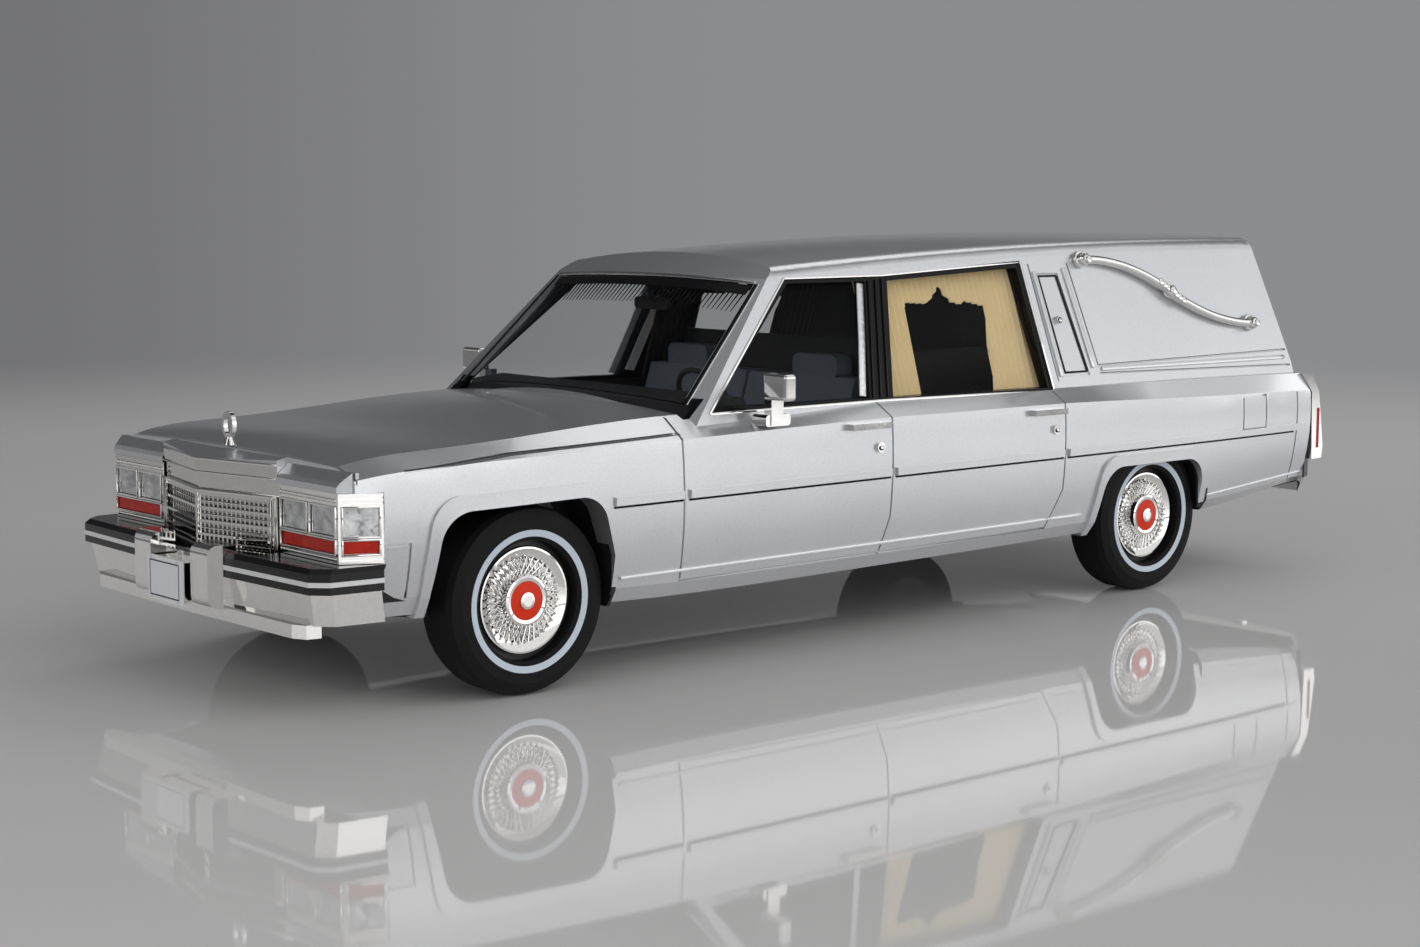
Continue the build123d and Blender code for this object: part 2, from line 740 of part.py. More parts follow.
def interior_tub():
    """Cabin floor and load floor in one moulding."""
    outline = [(-21.0, cabin_floor_z), (-48.0, cabin_floor_z), (-48.0, cargo_floor_z),
               (-109.5, cargo_floor_z)]
    upper = [(s, z + tub_thick) for s, z in reversed(outline)]
    upper[1] = (-48.0 + tub_thick, cargo_floor_z + tub_thick)
    upper[2] = (-48.0 + tub_thick, cabin_floor_z + tub_thick)
    floor = extrude(side_face(outline + upper), amount=cabin_half_width - seat_gap, both=True)
    for side in (1, -1):
        floor -= block(-72.4, -96.6, side * (wheel_well_inner_y - 1.3), side * 25, 0, 17.7)
    return floor


def in_cabin(shape):
    """Keeps a piece clear of the cabin walls and glass."""
    room = greenhouse(wall + seat_gap) + block(-20.2, -109.4, -19.0, 19.0, 0, 22.4)
    return shape & room


def dashboard():
    return in_cabin(extrude(side_face(dash_outline), amount=dash_half_width, both=True))


def front_seat():
    cushion = block(seat_station + 1, seat_station - seat_depth, -seat_half_width, seat_half_width,
                    cabin_floor_z + tub_thick + seat_gap, cushion_top_z)
    back = side_face([(seat_station - 6.5, cushion_top_z - 2), (seat_station - 9.5, seat_back_top_z),
                      (seat_station - 12.3, seat_back_top_z), (seat_station - 10.3, cushion_top_z - 2)])
    seat = cushion + extrude(back, amount=seat_half_width, both=True)
    seat -= block(seat_station - 13, seat_station - 5, -0.25, 0.25, cushion_top_z, 40)
    for side in (1, -1):
        rest = block(seat_station - 9.6, seat_station - 11.9, side * headrest_inner_y,
                     side * headrest_outer_y, seat_back_top_z - 0.2, headrest_top_z)
        seat += fillet(rest.edges().filter_by(Axis.X), headrest_round)
    return seat


def steering_wheel():
    ring = Torus(3.6, 0.28)
    spokes = Box(7.2, 0.5, 0.35) + Cylinder(0.8, 0.6)
    wheel = Rot(0, 0, 90) * (ring + spokes)
    column = Pos(0, 0, -2.1) * Cylinder(0.45, 4.4)
    return Pos(at(-30.6), 9.0, 23.0) * Rot(0, -62, 0) * (wheel + column) - dashboard()


def interior_mirror():
    head = Box(0.7, 5.2, 1.2)
    head = fillet(head.edges().filter_by(Axis.X), 0.45)
    stem = Pos(0.4, 0, 1.2) * Cylinder(0.3, 2.2)
    return Pos(at(-31.4), 0, 32.3) * (head + stem)


def curtains(side):
    cloth = through(curtain_outline) - through(curtain_parting)
    cloth = cloth & (greenhouse(wall + seat_gap) - greenhouse(wall + seat_gap + curtain_thick))
    half = block(-30, -90, 0, side * 30, 10, 40)
    return cloth & half


def wheel_parts(station, face):
    """Tyre, whitewall, wheel, cover and hub pieces of one axle, both sides."""
    shapes = {"axle": cross_rod(station, tyre_radius, axle_radius, -(face - tyre_width + 0.8),
                                face - tyre_width + 0.8)}
    inner = face - tyre_width
    profile = Polyline([(rim_radius, inner + 0.2), (tyre_radius - 1.0, inner),
                        (tyre_radius - 0.25, inner + 0.3), (tyre_radius, inner + 1.0),
                        (tyre_radius, face - 1.0), (tyre_radius - 0.25, face - 0.35),
                        (tyre_radius - 1.1, face), (whitewall_outer, face - 0.02),
                        (whitewall_outer, face - 0.2),
                        (whitewall_inner, face - 0.2), (whitewall_inner, face - 0.08),
                        (rim_radius, face - 0.35)], close=True)
    tyre = revolve(Plane.XY * make_face(profile), axis=Axis.Y)
    band = Polyline([(whitewall_inner, face - 0.2), (whitewall_outer, face - 0.2),
                     (whitewall_outer, face + 0.02), (whitewall_inner, face - 0.06)], close=True)
    whitewall = revolve(make_face(band), axis=Axis.Y)
    disc = Polyline([(0, face - 1.5), (rim_radius, face - 1.5), (rim_radius, inner + 0.6), (3.6, inner + 0.6),
                     (3.6, inner + 1.6), (1.6, inner + 1.6), (1.6, inner + 0.2), (axle_radius, inner + 0.2),
                     (axle_radius, inner + 0.8), (0, inner + 0.8)], close=True)
    wheel = revolve(make_face(disc), axis=Axis.Y)
    cover_base = face - 1.5
    dome = face - 1.5 + cover_dome
    shell = [(0, cover_base), (cover_radius, cover_base), (cover_radius, cover_base + 0.45),
             (cover_radius - 0.35, cover_base + 0.6), (cover_radius - 0.6, cover_base + 0.35),
             (3.9, cover_base + 0.4), (2.5, dome), (2.15, dome), (2.1, dome + 0.2),
             (hub_disc_radius + fit_gap, dome + 0.2), (hub_disc_radius + fit_gap, dome - 0.1),
             (0, dome - 0.1)]
    cover = revolve(make_face(Polyline(shell, close=True)), axis=Axis.Y)
    rib = Pos(3.3, dome - 0.12, 0) * Rot(0, 0, -13) * Box(1.5, 0.35, 0.17)
    for index in range(cover_ribs):
        cover += Rot(0, index * 360 / cover_ribs, 0) * rib
    red = [(0, dome - 0.1), (hub_disc_radius, dome - 0.1), (hub_disc_radius, dome + 0.15),
           (hub_boss_radius, dome + 0.22), (hub_boss_radius, dome + 0.15), (0, dome + 0.15)]
    disc_red = revolve(make_face(Polyline(red, close=True)), axis=Axis.Y)
    boss = [(0, dome + 0.15), (hub_boss_radius - 0.01, dome + 0.15), (hub_boss_radius - 0.01, dome + 0.35),
            (hub_boss_radius - 0.25, dome + 0.42), (0, dome + 0.42)]
    hub_boss = revolve(make_face(Polyline(boss, close=True)), axis=Axis.Y)
    place = Pos(at(station), 0, tyre_radius)
    for name, shape in (("tyres", tyre), ("whitewalls", whitewall), ("wheels", wheel),
                        ("wheel_covers", cover), ("hub_discs", disc_red), ("hub_bosses", hub_boss)):
        shapes[name] = both_sides(place * shape)
    return shapes


def grille():
    """Pointed grille: cap, smooth header, side posts and a fine grid."""
    solid = v_nose(0.0, grille_low_z, grille_top_z, nose_station)
    header_room = v_nose(-1.0, grille_header_low_z, grille_cap_low_z, nose_station)
    header_core = v_nose(0.3, grille_header_low_z, grille_cap_low_z, nose_station)
    solid -= header_room - header_core
    depth = 0.75
    low = grille_low_z + 0.2
    room = v_nose(-1.0, low, grille_header_low_z - 0.3, nose_station)
    room -= v_nose(depth, low, grille_header_low_z - 0.3, nose_station)
    room &= block(15, 25, -grille_half_width + 0.55, grille_half_width - 0.55, 0, 30)
    solid -= room
    face_length = math.hypot(grille_ridge_station - grille_corner_station, grille_half_width)
    run = Vector(grille_corner_station - grille_ridge_station, grille_half_width, 0)
    face = Plane(origin=(at(grille_ridge_station), 0, 0), x_dir=run, z_dir=(grille_half_width, -run.X, 0))
    tall = grille_header_low_z - 0.3 - low
    bars = []
    step = (face_length - 0.6) / grille_bars_per_half
    for index in range(grille_bars_per_half):
        bar = Pos((index + 0.5) * step, low + tall / 2, -depth + 0.25) * Box(grille_bar, tall, 0.5)
        bars.append(face.location * bar)
    for index in range(grille_rows):
        z = grille_header_low_z - 0.3 - grille_bar / 2 - index * grille_row_pitch
        row = Pos((face_length - 0.55) / 2, z, -0.2) * Box(face_length - 0.55, grille_bar, 0.3)
        bars.append(face.location * row)
    half = Part() + bars
    half = half & block(15, 25, 0, grille_half_width - 0.5, 0, 30)
    ridge = v_nose(0.0, low, grille_header_low_z - 0.3, nose_station) & block(15, 25, -0.2, 0.2, 0, 30)
    return solid + half + mirror(half, about=Plane.XZ) + ridge


def bezel_room():
    """Corner of the body that the left bezel wraps round."""
    plan = [(bezel_rear_station - fit_gap, bezel_rear_y - bezel_depth - fit_gap),
            (nose_station, bezel_corner_y - 0.3 - fit_gap),
            (nose_station + 3, bezel_corner_y - 0.3 - fit_gap),
            (nose_station + 3, 24), (bezel_rear_station - fit_gap, 24)]
    return extrude(half_plan(plan, bezel_low_z - fit_gap), amount=bezel_top_z - bezel_low_z + 2 * fit_gap)


def wrap_box(start, end, depth, reach, low, high):
    """Box along the slanted wrap of the left bezel, from depth inside its face to reach outside."""
    run = Vector(at(bezel_rear_station) - at(bezel_front_station), bezel_rear_y - bezel_corner_y, 0)
    face = Plane(origin=(at(bezel_front_station), bezel_corner_y, 0), x_dir=run, z_dir=(0, 0, 1))
    size = Box(end - start, depth + reach, high - low)
    return face.location * Pos((start + end) / 2, (depth - reach) / 2, (low + high) / 2) * size


def bezel_body():
    """Left lamp housing, which wraps round the front corner of the fender."""
    plan = [(nose_station, bezel_inner_y), (bezel_front_station, bezel_inner_y),
            (bezel_front_station, bezel_corner_y), (bezel_rear_station, bezel_rear_y),
            (bezel_rear_station, bezel_rear_y - bezel_depth), (nose_station, bezel_corner_y - 0.3)]
    return extrude(half_plan(plan, bezel_low_z), amount=bezel_top_z - bezel_low_z)


def lamp_cuts(depth, reach, grow):
    """Rooms of the clear lamps in the left bezel: two in front, one on the side."""
    cuts = []
    for inner, outer in lamp_bays:
        cuts.append(block(bezel_front_station - depth, bezel_front_station + reach, inner - grow,
                          outer + grow, lamp_low_z - grow, lamp_high_z + grow))
    cuts.append(wrap_box(side_lamp_run[0] - grow, side_lamp_run[1] + grow, depth, reach, lamp_low_z - grow,
                         lamp_high_z + grow))
    return cuts


def turn_cuts(depth, reach, grow):
    """Rooms of the turn lamps in the left bezel."""
    front = block(bezel_front_station - depth, bezel_front_station + reach, lamp_bays[0][0] - grow,
                  lamp_bays[1][1] + grow, turn_low_z - grow, turn_high_z + grow)
    return [front, wrap_box(side_lamp_run[0] - grow, side_lamp_run[1] + grow, depth, reach, turn_low_z - grow,
                            turn_high_z + grow)]


def lamp_bezels():
    body = bezel_body()
    body -= lamp_cuts(lens_depth, 1, 0) + turn_cuts(lens_depth, 1, 0)
    for low, high in bezel_grooves:
        body -= block(bezel_front_station - bezel_groove_depth, bezel_front_station + 1, 9, 19.0, low, high)
        body -= wrap_box(0.15, 6, bezel_groove_depth, 1, low, high)
    return both_sides(body)


def lenses(cuts):
    """Lenses that fill the lamp rooms of both bezels."""
    left = Compound(children=cuts(lens_depth - 0.02, -0.08, -fit_gap))
    return both_sides(left)


def bar_ring(plan, back, z):
    """Whole plan face of a bumper from the left half of its front and back lines."""
    front = [(at(s), y) for s, y in plan]
    rear = [(at(s), y) for s, y in back]
    front_right = [(x, -y) for x, y in reversed(front) if y > 0]
    rear_right = [(x, -y) for x, y in reversed(rear) if y > 0]
    outline = front + front_right + rear_right[::-1] + rear[::-1]
    return Pos(0, 0, z) * make_face(Polyline(outline, close=True))


def tucked(plan, tuck):
    """Bumper plan drawn in by a tuck."""
    return [(s - tuck if s > 0 else s + tuck, max(y - tuck * 0.6, 0.0)) for s, y in plan]


def bumper_bar(plan, back, low_z, bar_z, top_z, tuck):
    """Chrome bar whose lower face tucks in under its rub strip."""
    lower = loft([bar_ring(tucked(plan, tuck), back, low_z), bar_ring(plan, back, bar_z)])
    return lower + extrude(bar_ring(plan, back, bar_z), amount=top_z - bar_z)


def offset_plan(plan, step):
    """Bumper plan pushed out by step."""
    sign = 1 if plan[-1][0] > 0 else -1
    moved = [(s + sign * step, y + (step if y > 0 else 0)) for s, y in plan]
    moved[0] = (plan[0][0], plan[0][1] + step)
    return moved


def rub_strip(plan, low_z, high_z, inner, outer):
    """Strip that follows a bumper's face between two offsets."""
    far = plan_face(offset_plan(plan, outer), low_z)
    near = plan_face(offset_plan(plan, inner), low_z)
    return extrude(far - near, amount=high_z - low_z)


def bumper_guard():
    """Left upright guard with a rounded nose."""
    guard = block(20.5, guard_front_station, guard_inner_y, guard_outer_y, front_bumper_low_z, guard_top_z)
    guard = fillet(guard.edges().filter_by(Axis.Y).sort_by(Axis.X)[-2:], guard_round)
    outer = half_plan([(guard_front_station - guard_chamfer * 1.6, guard_outer_y + 1),
                       (guard_front_station + 1, guard_outer_y + 1),
                       (guard_front_station + 1, guard_outer_y - guard_chamfer - 0.6),
                       (guard_front_station - guard_chamfer * 1.6, guard_outer_y)], 0)
    return guard - extrude(outer, amount=20)


def strip_limit():
    """Space between the guards, which the rubber strips leave free."""
    gap = guard_outer_y + fit_gap
    return block(10, 30, -gap, gap, 0, 30)


def front_bumper():
    bar = bumper_bar(front_bumper_plan, front_bumper_back, front_bumper_low_z, bumper_bar_low_z,
                     bumper_middle_top_z, bumper_tuck)
    side_top = block(10, 30, -30, 30, bumper_bar_low_z, 30) - strip_limit()
    bar = (bar - side_top - skin) + both_sides(bumper_guard())
    holder = block(21.0, number_plate_station - fit_gap, -number_plate_width / 2, number_plate_width / 2,
                   number_plate_low_z + 0.2, number_plate_low_z + number_plate_height - 0.2)
    return bar + holder


def front_rub_strips():
    """Black strips that top the bumper on both sides of the guards."""
    plan = offset_plan(front_bumper_plan, rub_strip_stand_out)
    low_face = bar_ring(plan, front_bumper_back, bumper_bar_low_z)
    strip = extrude(low_face, amount=rub_strip_edge_z - bumper_bar_low_z)
    top_plan = tucked(plan, rub_strip_top_z - rub_strip_edge_z)
    edge_face = bar_ring(plan, front_bumper_back, rub_strip_edge_z)
    strip += loft([edge_face, bar_ring(top_plan, front_bumper_back, rub_strip_top_z)])
    return strip - strip_limit() - skin


def front_stripes():
    strip = rub_strip(front_bumper_plan, stripe_low_z, stripe_high_z, rub_strip_stand_out,
                      rub_strip_stand_out + stripe_stand_out)
    return strip - strip_limit()


def front_valance():
    plan = [(valance_back_station, 0.0)] + valance_plan
    return extrude(plan_face(plan, valance_low_z), amount=front_bumper_low_z - valance_low_z)


def rear_bumper():
    back = [(-113.45, 20.0), (-113.45, 0.0)]
    bar = bumper_bar(rear_bumper_plan, back, rear_bumper_low_z, rear_bar_low_z, rear_bumper_top_z,
                     bumper_tuck)
    for side in (1, -1):
        bar += block(-116.5, -117.5, side * 9.2, side * 10.8, 8.6, 13.8)
    return bar


def rear_rub_strip():
    strip = rub_strip(rear_bumper_plan, rear_bar_low_z, rear_bumper_top_z, 0.0, 0.2)
    for side in (1, -1):
        strip -= block(-110, -120, side * 9.15, side * 10.85, 0, 30)
    return strip


def number_plate(station, sign, low_z):
    plate = block(station, station + sign * number_plate_thick, -number_plate_width / 2,
                  number_plate_width / 2, low_z, low_z + number_plate_height)
    return plate


def tail_lamp_room():
    """Room for the left tail lamp in the end of the fender."""
    top, bend, foot = tail_lamp_outline[0], tail_lamp_outline[-1], tail_lamp_outline[-2]
    outline = [(s + fit_gap, z) for s, z in (top, bend, foot)]
    outline += [(-125, foot[1]), (-125, 30), (top[0] + fit_gap, 30)]
    return through(outline) & block(-110, -125, tail_lamp_inner_y - fit_gap, 24, foot[1] - fit_gap, 30)


def tail_lens_boxes(grow):
    """Rear and side lens of the left tail lamp."""
    rear = block(-114.6, -117, 19.45 - grow, 21.1 + grow, tail_lens_low_z - grow, tail_lens_high_z + grow)
    side = block(-114.65 + grow, -115.2 - grow, tail_lamp_outer_y - tail_lens_depth, 23,
                 tail_lens_low_z - grow, tail_lens_high_z + grow)
    return rear, side


def tail_lamp_housings():
    body = through(tail_lamp_outline) & block(-110, -120, tail_lamp_inner_y, tail_lamp_outer_y, 0, 30)
    body -= list(tail_lens_boxes(0))
    return both_sides(body)


def tail_lenses():
    rear, side = tail_lens_boxes(-fit_gap)
    rear = (rear & through(tail_lamp_outline)) & block(-114.65, -118, 19, 22, 13, 19)
    side = side & block(-114, -116, 21.35, tail_lamp_outer_y - 0.05, 13, 19)
    return both_sides(Compound(children=[rear, side]))


def door_mirror(side):
    head = Box(mirror_depth, mirror_width, mirror_top_z - mirror_low_z)
    head = fillet(head.edges(), mirror_round)
    head_y = mirror_outer_y - mirror_width / 2
    head_z = (mirror_low_z + mirror_top_z) / 2
    head = Pos(at(mirror_front_station - mirror_depth / 2), side * head_y, head_z) * head
    arm, foot = [block(front, rear, side * inner, side * outer, low, high)
                 for front, rear, inner, outer, low, high in (mirror_arm, mirror_foot)]
    foot = fillet(foot.edges().filter_by(Axis.Y), mirror_round)
    mount = (arm + foot) - skin - cabin
    return head + mount


def door_handles():
    pieces = []
    for front, rear, z in handle_runs:
        grip = through([(front, z - 0.3), (front, z + 0.3), (rear, z + 0.3), (rear, z - 0.3)])
        pieces.append(grip & (body_skin(-0.75) - skin))
    for s, z in lock_places:
        lock = cross_rod(s, z, lock_radius, -30, 30)
        pieces.append(lock & (body_skin(-0.3) - skin))
    return Compound(children=pieces)


def landau_bar(side):
    """Bar on its two ball ends, an S of two tangent arcs lying off the roof side."""
    lean = math.hypot(1, greenhouse_slope)
    off_y = bar_stand_off / lean
    origin = Vector(at(bar_front_station), green_y(bar_front_z) + off_y * 1.3, bar_front_z)
    up = Vector(0, -greenhouse_slope / lean, 1 / lean)
    plane = Plane(origin=origin, x_dir=(-1, 0, 0), z_dir=Vector(-1, 0, 0).cross(up))

    def spot(station, z):
        return (bar_front_station - station, (z - bar_front_z) * lean)

    start = spot(bar_front_station, bar_front_z)
    middle = spot(bar_middle_station, bar_middle_z)
    end = spot(bar_rear_station, bar_rear_z)
    first = TangentArc([start, middle], tangent=(1, 0))
    second = TangentArc([middle, end], tangent=first % 1)
    path = plane * Wire([first, second])
    profile = Plane(origin=path @ 0, z_dir=path % 0) * Circle(bar_radius)
    bar = sweep(profile, path=path)
    ends = []
    for point in (start, middle, end):
        ends.append(plane.location * Pos(point[0], point[1], 0) * Sphere(bar_ball_radius))
    bar = bar + ends
    bar = bar - cabin
    return bar if side > 0 else mirror(bar, about=Plane.XZ)


def hood_ornament():
    """Plain oval hoop on a stem."""
    hoop = Ellipse(0.95, 1.2) - Ellipse(0.62, 0.85)
    hoop = extrude(Plane(origin=(0, 0, 0), x_dir=(0, 1, 0), z_dir=(1, 0, 0)) * hoop, amount=0.2, both=True)
    hoop = Pos(at(ornament_station), 0, ornament_base_z + 1.75) * hoop
    stem = Cone(0.6, 0.25, 0.75, align=(Align.CENTER, Align.CENTER, Align.MIN))
    stem = Pos(at(ornament_station), 0, ornament_base_z) * stem
    return (hoop + stem) - skin


def rear_door_handle():
    grip = block(tail_station, tail_station - 0.6, -3.5, 3.5, 20.4, 21.1)
    return grip


nodes = {}
nodes["body_shell"] = body_shell()
nodes["base_plate"] = base_plate()
nodes["interior_tub"] = interior_tub()
nodes["dashboard"] = dashboard()
nodes["front_seat"] = front_seat()
nodes["steering_wheel"] = steering_wheel()
nodes["interior_mirror"] = interior_mirror()
nodes["curtains_left"] = curtains(1)
nodes["curtains_right"] = curtains(-1)
nodes["side_window_frames"] = side_frames()
nodes["front_door_glass"] = side_glass(front_door_window)
nodes["rear_door_glass"] = side_glass(rear_door_window)
nodes["windshield_glass"] = windshield_glass()
nodes["tail_glass"] = tail_glass()
nodes["vent_panels"] = vent_panels()
nodes["side_mouldings"] = side_mouldings()
nodes["grille"] = grille()
nodes["lamp_bezels"] = lamp_bezels()
nodes["lamp_lenses"] = lenses(lamp_cuts)
nodes["turn_lenses"] = lenses(turn_cuts)
nodes["front_bumper"] = front_bumper()
nodes["front_rub_strips"] = front_rub_strips()
nodes["front_stripes"] = front_stripes()
nodes["front_valance"] = front_valance()
nodes["front_number_plate"] = number_plate(number_plate_station, 1, number_plate_low_z)
nodes["rear_bumper"] = rear_bumper()
nodes["rear_rub_strip"] = rear_rub_strip()
nodes["rear_number_plate"] = number_plate(tail_station, -1, rear_plate_low_z)
nodes["tail_lamp_housings"] = tail_lamp_housings()
nodes["tail_lenses"] = tail_lenses()
nodes["rear_door_handle"] = rear_door_handle()
nodes["door_mirror_left"] = door_mirror(1)
nodes["door_mirror_right"] = door_mirror(-1)
nodes["door_handles"] = door_handles()
nodes["landau_bar_left"] = landau_bar(1)
nodes["landau_bar_right"] = landau_bar(-1)
nodes["hood_ornament"] = hood_ornament()
for end, station, face in (("front", 0, front_track_face), ("rear", -wheelbase, rear_track_face)):
    for name, shape in wheel_parts(station, face).items():
        nodes[end + "_" + name] = shape

os.makedirs("parts", exist_ok=True)
for name, shape in nodes.items():
    export_step(shape, "parts/" + name + ".step")
    box = shape.bounding_box()
    print(name, len(shape.solids()), round(shape.volume, 2),
          [round(v, 2) for v in (box.min.X, box.min.Y, box.min.Z, box.max.X, box.max.Y, box.max.Z)])
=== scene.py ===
import bpy
import math
from mathutils import Matrix, Vector


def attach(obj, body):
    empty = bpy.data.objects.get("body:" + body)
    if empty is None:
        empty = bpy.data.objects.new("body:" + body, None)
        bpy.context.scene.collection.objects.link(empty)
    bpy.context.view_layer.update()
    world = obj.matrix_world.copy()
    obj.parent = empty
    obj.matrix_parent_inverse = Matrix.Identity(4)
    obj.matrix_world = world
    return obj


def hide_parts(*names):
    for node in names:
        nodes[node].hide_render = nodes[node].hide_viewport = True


# %% [markdown]
# # Dressing a 1:43 scale model hearse
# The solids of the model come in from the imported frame, already in place and in metres.
# Here they get their finishes, and the fine parts that are too small for the solids are
# modelled on top: wires of the wheel covers, pleats, trim lines, lamp frames and beads.

# %% Load the frame and keep its box
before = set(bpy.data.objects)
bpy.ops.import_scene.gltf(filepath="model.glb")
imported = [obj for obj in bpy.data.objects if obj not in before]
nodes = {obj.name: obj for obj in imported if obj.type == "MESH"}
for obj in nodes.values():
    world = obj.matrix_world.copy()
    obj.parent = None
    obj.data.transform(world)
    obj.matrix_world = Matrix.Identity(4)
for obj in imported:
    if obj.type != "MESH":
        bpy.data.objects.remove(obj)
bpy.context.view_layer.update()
mm = 0.001

# %% [markdown]
# ## Camera
# The photograph was matched by measuring known points of the model in it. That gave the
# place of the camera, its turn and its focal length, which are simply written here.

# %% Camera at the photograph's view
camera_place = Vector((166.489, 181.207, 43.062)) * mm
azimuth = math.radians(138.826)
elevation = math.radians(6.764)
roll = math.radians(0.2276)
focal_pixels = 2342.2
picture_width_pixels = 1420
sensor_width = 36.0
back = Vector((
    math.sin(azimuth) * math.cos(elevation),
    -math.cos(azimuth) * math.cos(elevation),
    math.sin(elevation),
))
right = (-back).cross(Vector((0, 0, 1))).normalized()
up = right.cross(-back)
right_rolled = right * math.cos(roll) + up * math.sin(roll)
up_rolled = up * math.cos(roll) - right * math.sin(roll)
camera_data = bpy.data.cameras.new("photo_camera")
camera_data.sensor_width = sensor_width
camera_data.lens = focal_pixels / picture_width_pixels * sensor_width
camera_data.clip_start = 0.005
camera_data.clip_end = 50.0
camera = bpy.data.objects.new("photo_camera", camera_data)
bpy.context.scene.collection.objects.link(camera)
camera.matrix_world = Matrix((
    (right_rolled.x, up_rolled.x, back.x, camera_place.x),
    (right_rolled.y, up_rolled.y, back.y, camera_place.y),
    (right_rolled.z, up_rolled.z, back.z, camera_place.z),
    (0, 0, 0, 1),
))
bpy.context.scene.camera = camera
bpy.context.scene.view_settings.view_transform = "Standard"
print("camera", tuple(round(v, 4) for v in camera.location))

# %% [markdown]
# ## Places on the model
# Lengths along the model are counted from the front axle, as in the drawing of the solids.
# The cabin sides lean in by one slope, and the windshield is a raked and bowed pane. Both
# are written as formulas once, so that everything laid on them agrees.

# %% Places and measured sizes, in millimetres
front_axle_x = 47.0
rear_axle_station = -85.36
tyre_radius = 8.27
side_slope = 0.33
lean = math.atan(side_slope)
belt_half, belt_z = 20.3, 22.8
windshield_rake = 1.041
windshield_foot_station, windshield_foot_z = -17.93, 23.36
windshield_bow = 80.0
forward, leftward, upward = Vector((1, 0, 0)), Vector((0, 1, 0)), Vector((0, 0, 1))
up_the_side = Vector((0, -side_slope, 1))
out_of_windshield = Vector((1, 0, 1))


def at(station):
    return front_axle_x + station


def cabin_side(z):
    """Half width of the cabin at a height."""
    return belt_half - side_slope * (z - belt_z)


def side_spot(station, z, lift):
    """Point on the leaning cabin side."""
    return Vector((at(station), cabin_side(z) + lift, z))


def windshield_spot(y, z, lift):
    """Point on the outer face of the windshield."""
    bow = windshield_bow - math.sqrt(windshield_bow ** 2 - y ** 2)
    station = windshield_foot_station - windshield_rake * (z - windshield_foot_z)
    return Vector((at(station) - bow + lift, y, z))


print("cabin half width at 30 mm", round(cabin_side(30), 2))

# %% [markdown]
# The lower body and the panes are curved, so trim there needs the real surface. A ray from
# outside finds it, which is safer than copying the curves of the solids by hand.

# %% Rays that feel for the surface
beyond_side = 40
beyond_nose = 30


def feel_side(node_name, station, z, lift=0.0):
    """Left side of a solid at a station and height."""
    start = Vector((at(station), beyond_side, z)) * mm
    found, place, normal, _ = nodes[node_name].ray_cast(start, -leftward)
    if not found:
        return side_spot(station, z, lift)
    return place / mm + normal * lift


def feel_front(node_name, y, z, lift=0.0):
    """Front side of a solid at a width and height, or None beside it."""
    start = Vector((at(beyond_nose), y, z)) * mm
    found, place, normal, _ = nodes[node_name].ray_cast(start, -forward)
    return place / mm + normal * lift if found else None


print("side at the front door", [round(v, 2) for v in feel_side("body_shell", -30, 16)])

# %% [markdown]
# ## Small helpers
# Every piece is modelled in edit mode, so a few steps come back all the time: clear the
# selection, start a primitive, pick what an operator acts on, and finish the piece by
# putting its place into its mesh, giving it a finish and letting it ride on a body.

# %% Helpers for modelling
def deselect():
    if bpy.context.object and bpy.context.object.mode != "OBJECT":
        leave_edit()
    bpy.ops.object.select_all(action="DESELECT")


def hold(piece):
    deselect()
    piece.select_set(True)
    bpy.context.view_layer.objects.active = piece


def settle():
    """Put the place, turn and size of the selected piece into its mesh."""
    bpy.ops.object.transform_apply(location=True, rotation=True, scale=True)


def edit_all(kind="FACE"):
    bpy.ops.object.mode_set(mode="EDIT")
    bpy.ops.mesh.select_mode(type=kind)
    bpy.ops.mesh.select_all(action="SELECT")


def leave_edit():
    bpy.ops.object.mode_set(mode="OBJECT")


def face_outwards():
    bpy.ops.mesh.select_all(action="SELECT")
    bpy.ops.mesh.normals_make_consistent(inside=False)


def start_block(name, low, high):
    """A block between two corners, given in millimetres."""
    deselect()
    low, high = Vector(low) * mm, Vector(high) * mm
    bpy.ops.mesh.primitive_cube_add(size=1, location=(low + high) / 2)
    piece = bpy.context.object
    piece.name = name
    piece.scale = high - low
    settle()
    return piece


def pick_faces(piece, test):
    """Select in edit mode the faces whose centre and normal pass the test."""
    hold(piece)
    bpy.ops.object.mode_set(mode="EDIT")
    bpy.ops.mesh.select_mode(type="FACE")
    bpy.ops.mesh.select_all(action="DESELECT")
    leave_edit()
    for face in piece.data.polygons:
        face.select = test(face.center, face.normal)
    bpy.ops.object.mode_set(mode="EDIT")


# %% Helpers for joining, copying and finishing
def join_pieces(pieces, name):
    deselect()
    for piece in pieces:
        piece.select_set(True)
    bpy.context.view_layer.objects.active = pieces[0]
    bpy.ops.object.join()
    joined = bpy.context.object
    joined.name = name
    return joined


def copy_piece(piece, name, shift=(0, 0, 0)):
    hold(piece)
    bpy.ops.object.duplicate(linked=False)
    twin = bpy.context.object
    twin.name = name
    twin.location = twin.location + Vector(shift) * mm
    return twin


def with_mirror(piece):
    """The piece joined with its mirror image on the other side."""
    hold(piece)
    settle()
    name = piece.name
    twin = copy_piece(piece, name + "_twin")
    twin.scale.y = -1
    settle()
    edit_all()
    face_outwards()
    leave_edit()
    return join_pieces([piece, twin], name)


def finish_piece(piece, body, material, smooth_angle=30):
    hold(piece)
    settle()
    bpy.ops.object.shade_smooth_by_angle(angle=math.radians(smooth_angle))
    piece.data.materials.clear()
    piece.data.materials.append(material)
    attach(piece, body)
    print(piece.name, len(piece.data.polygons), "faces")
    return piece


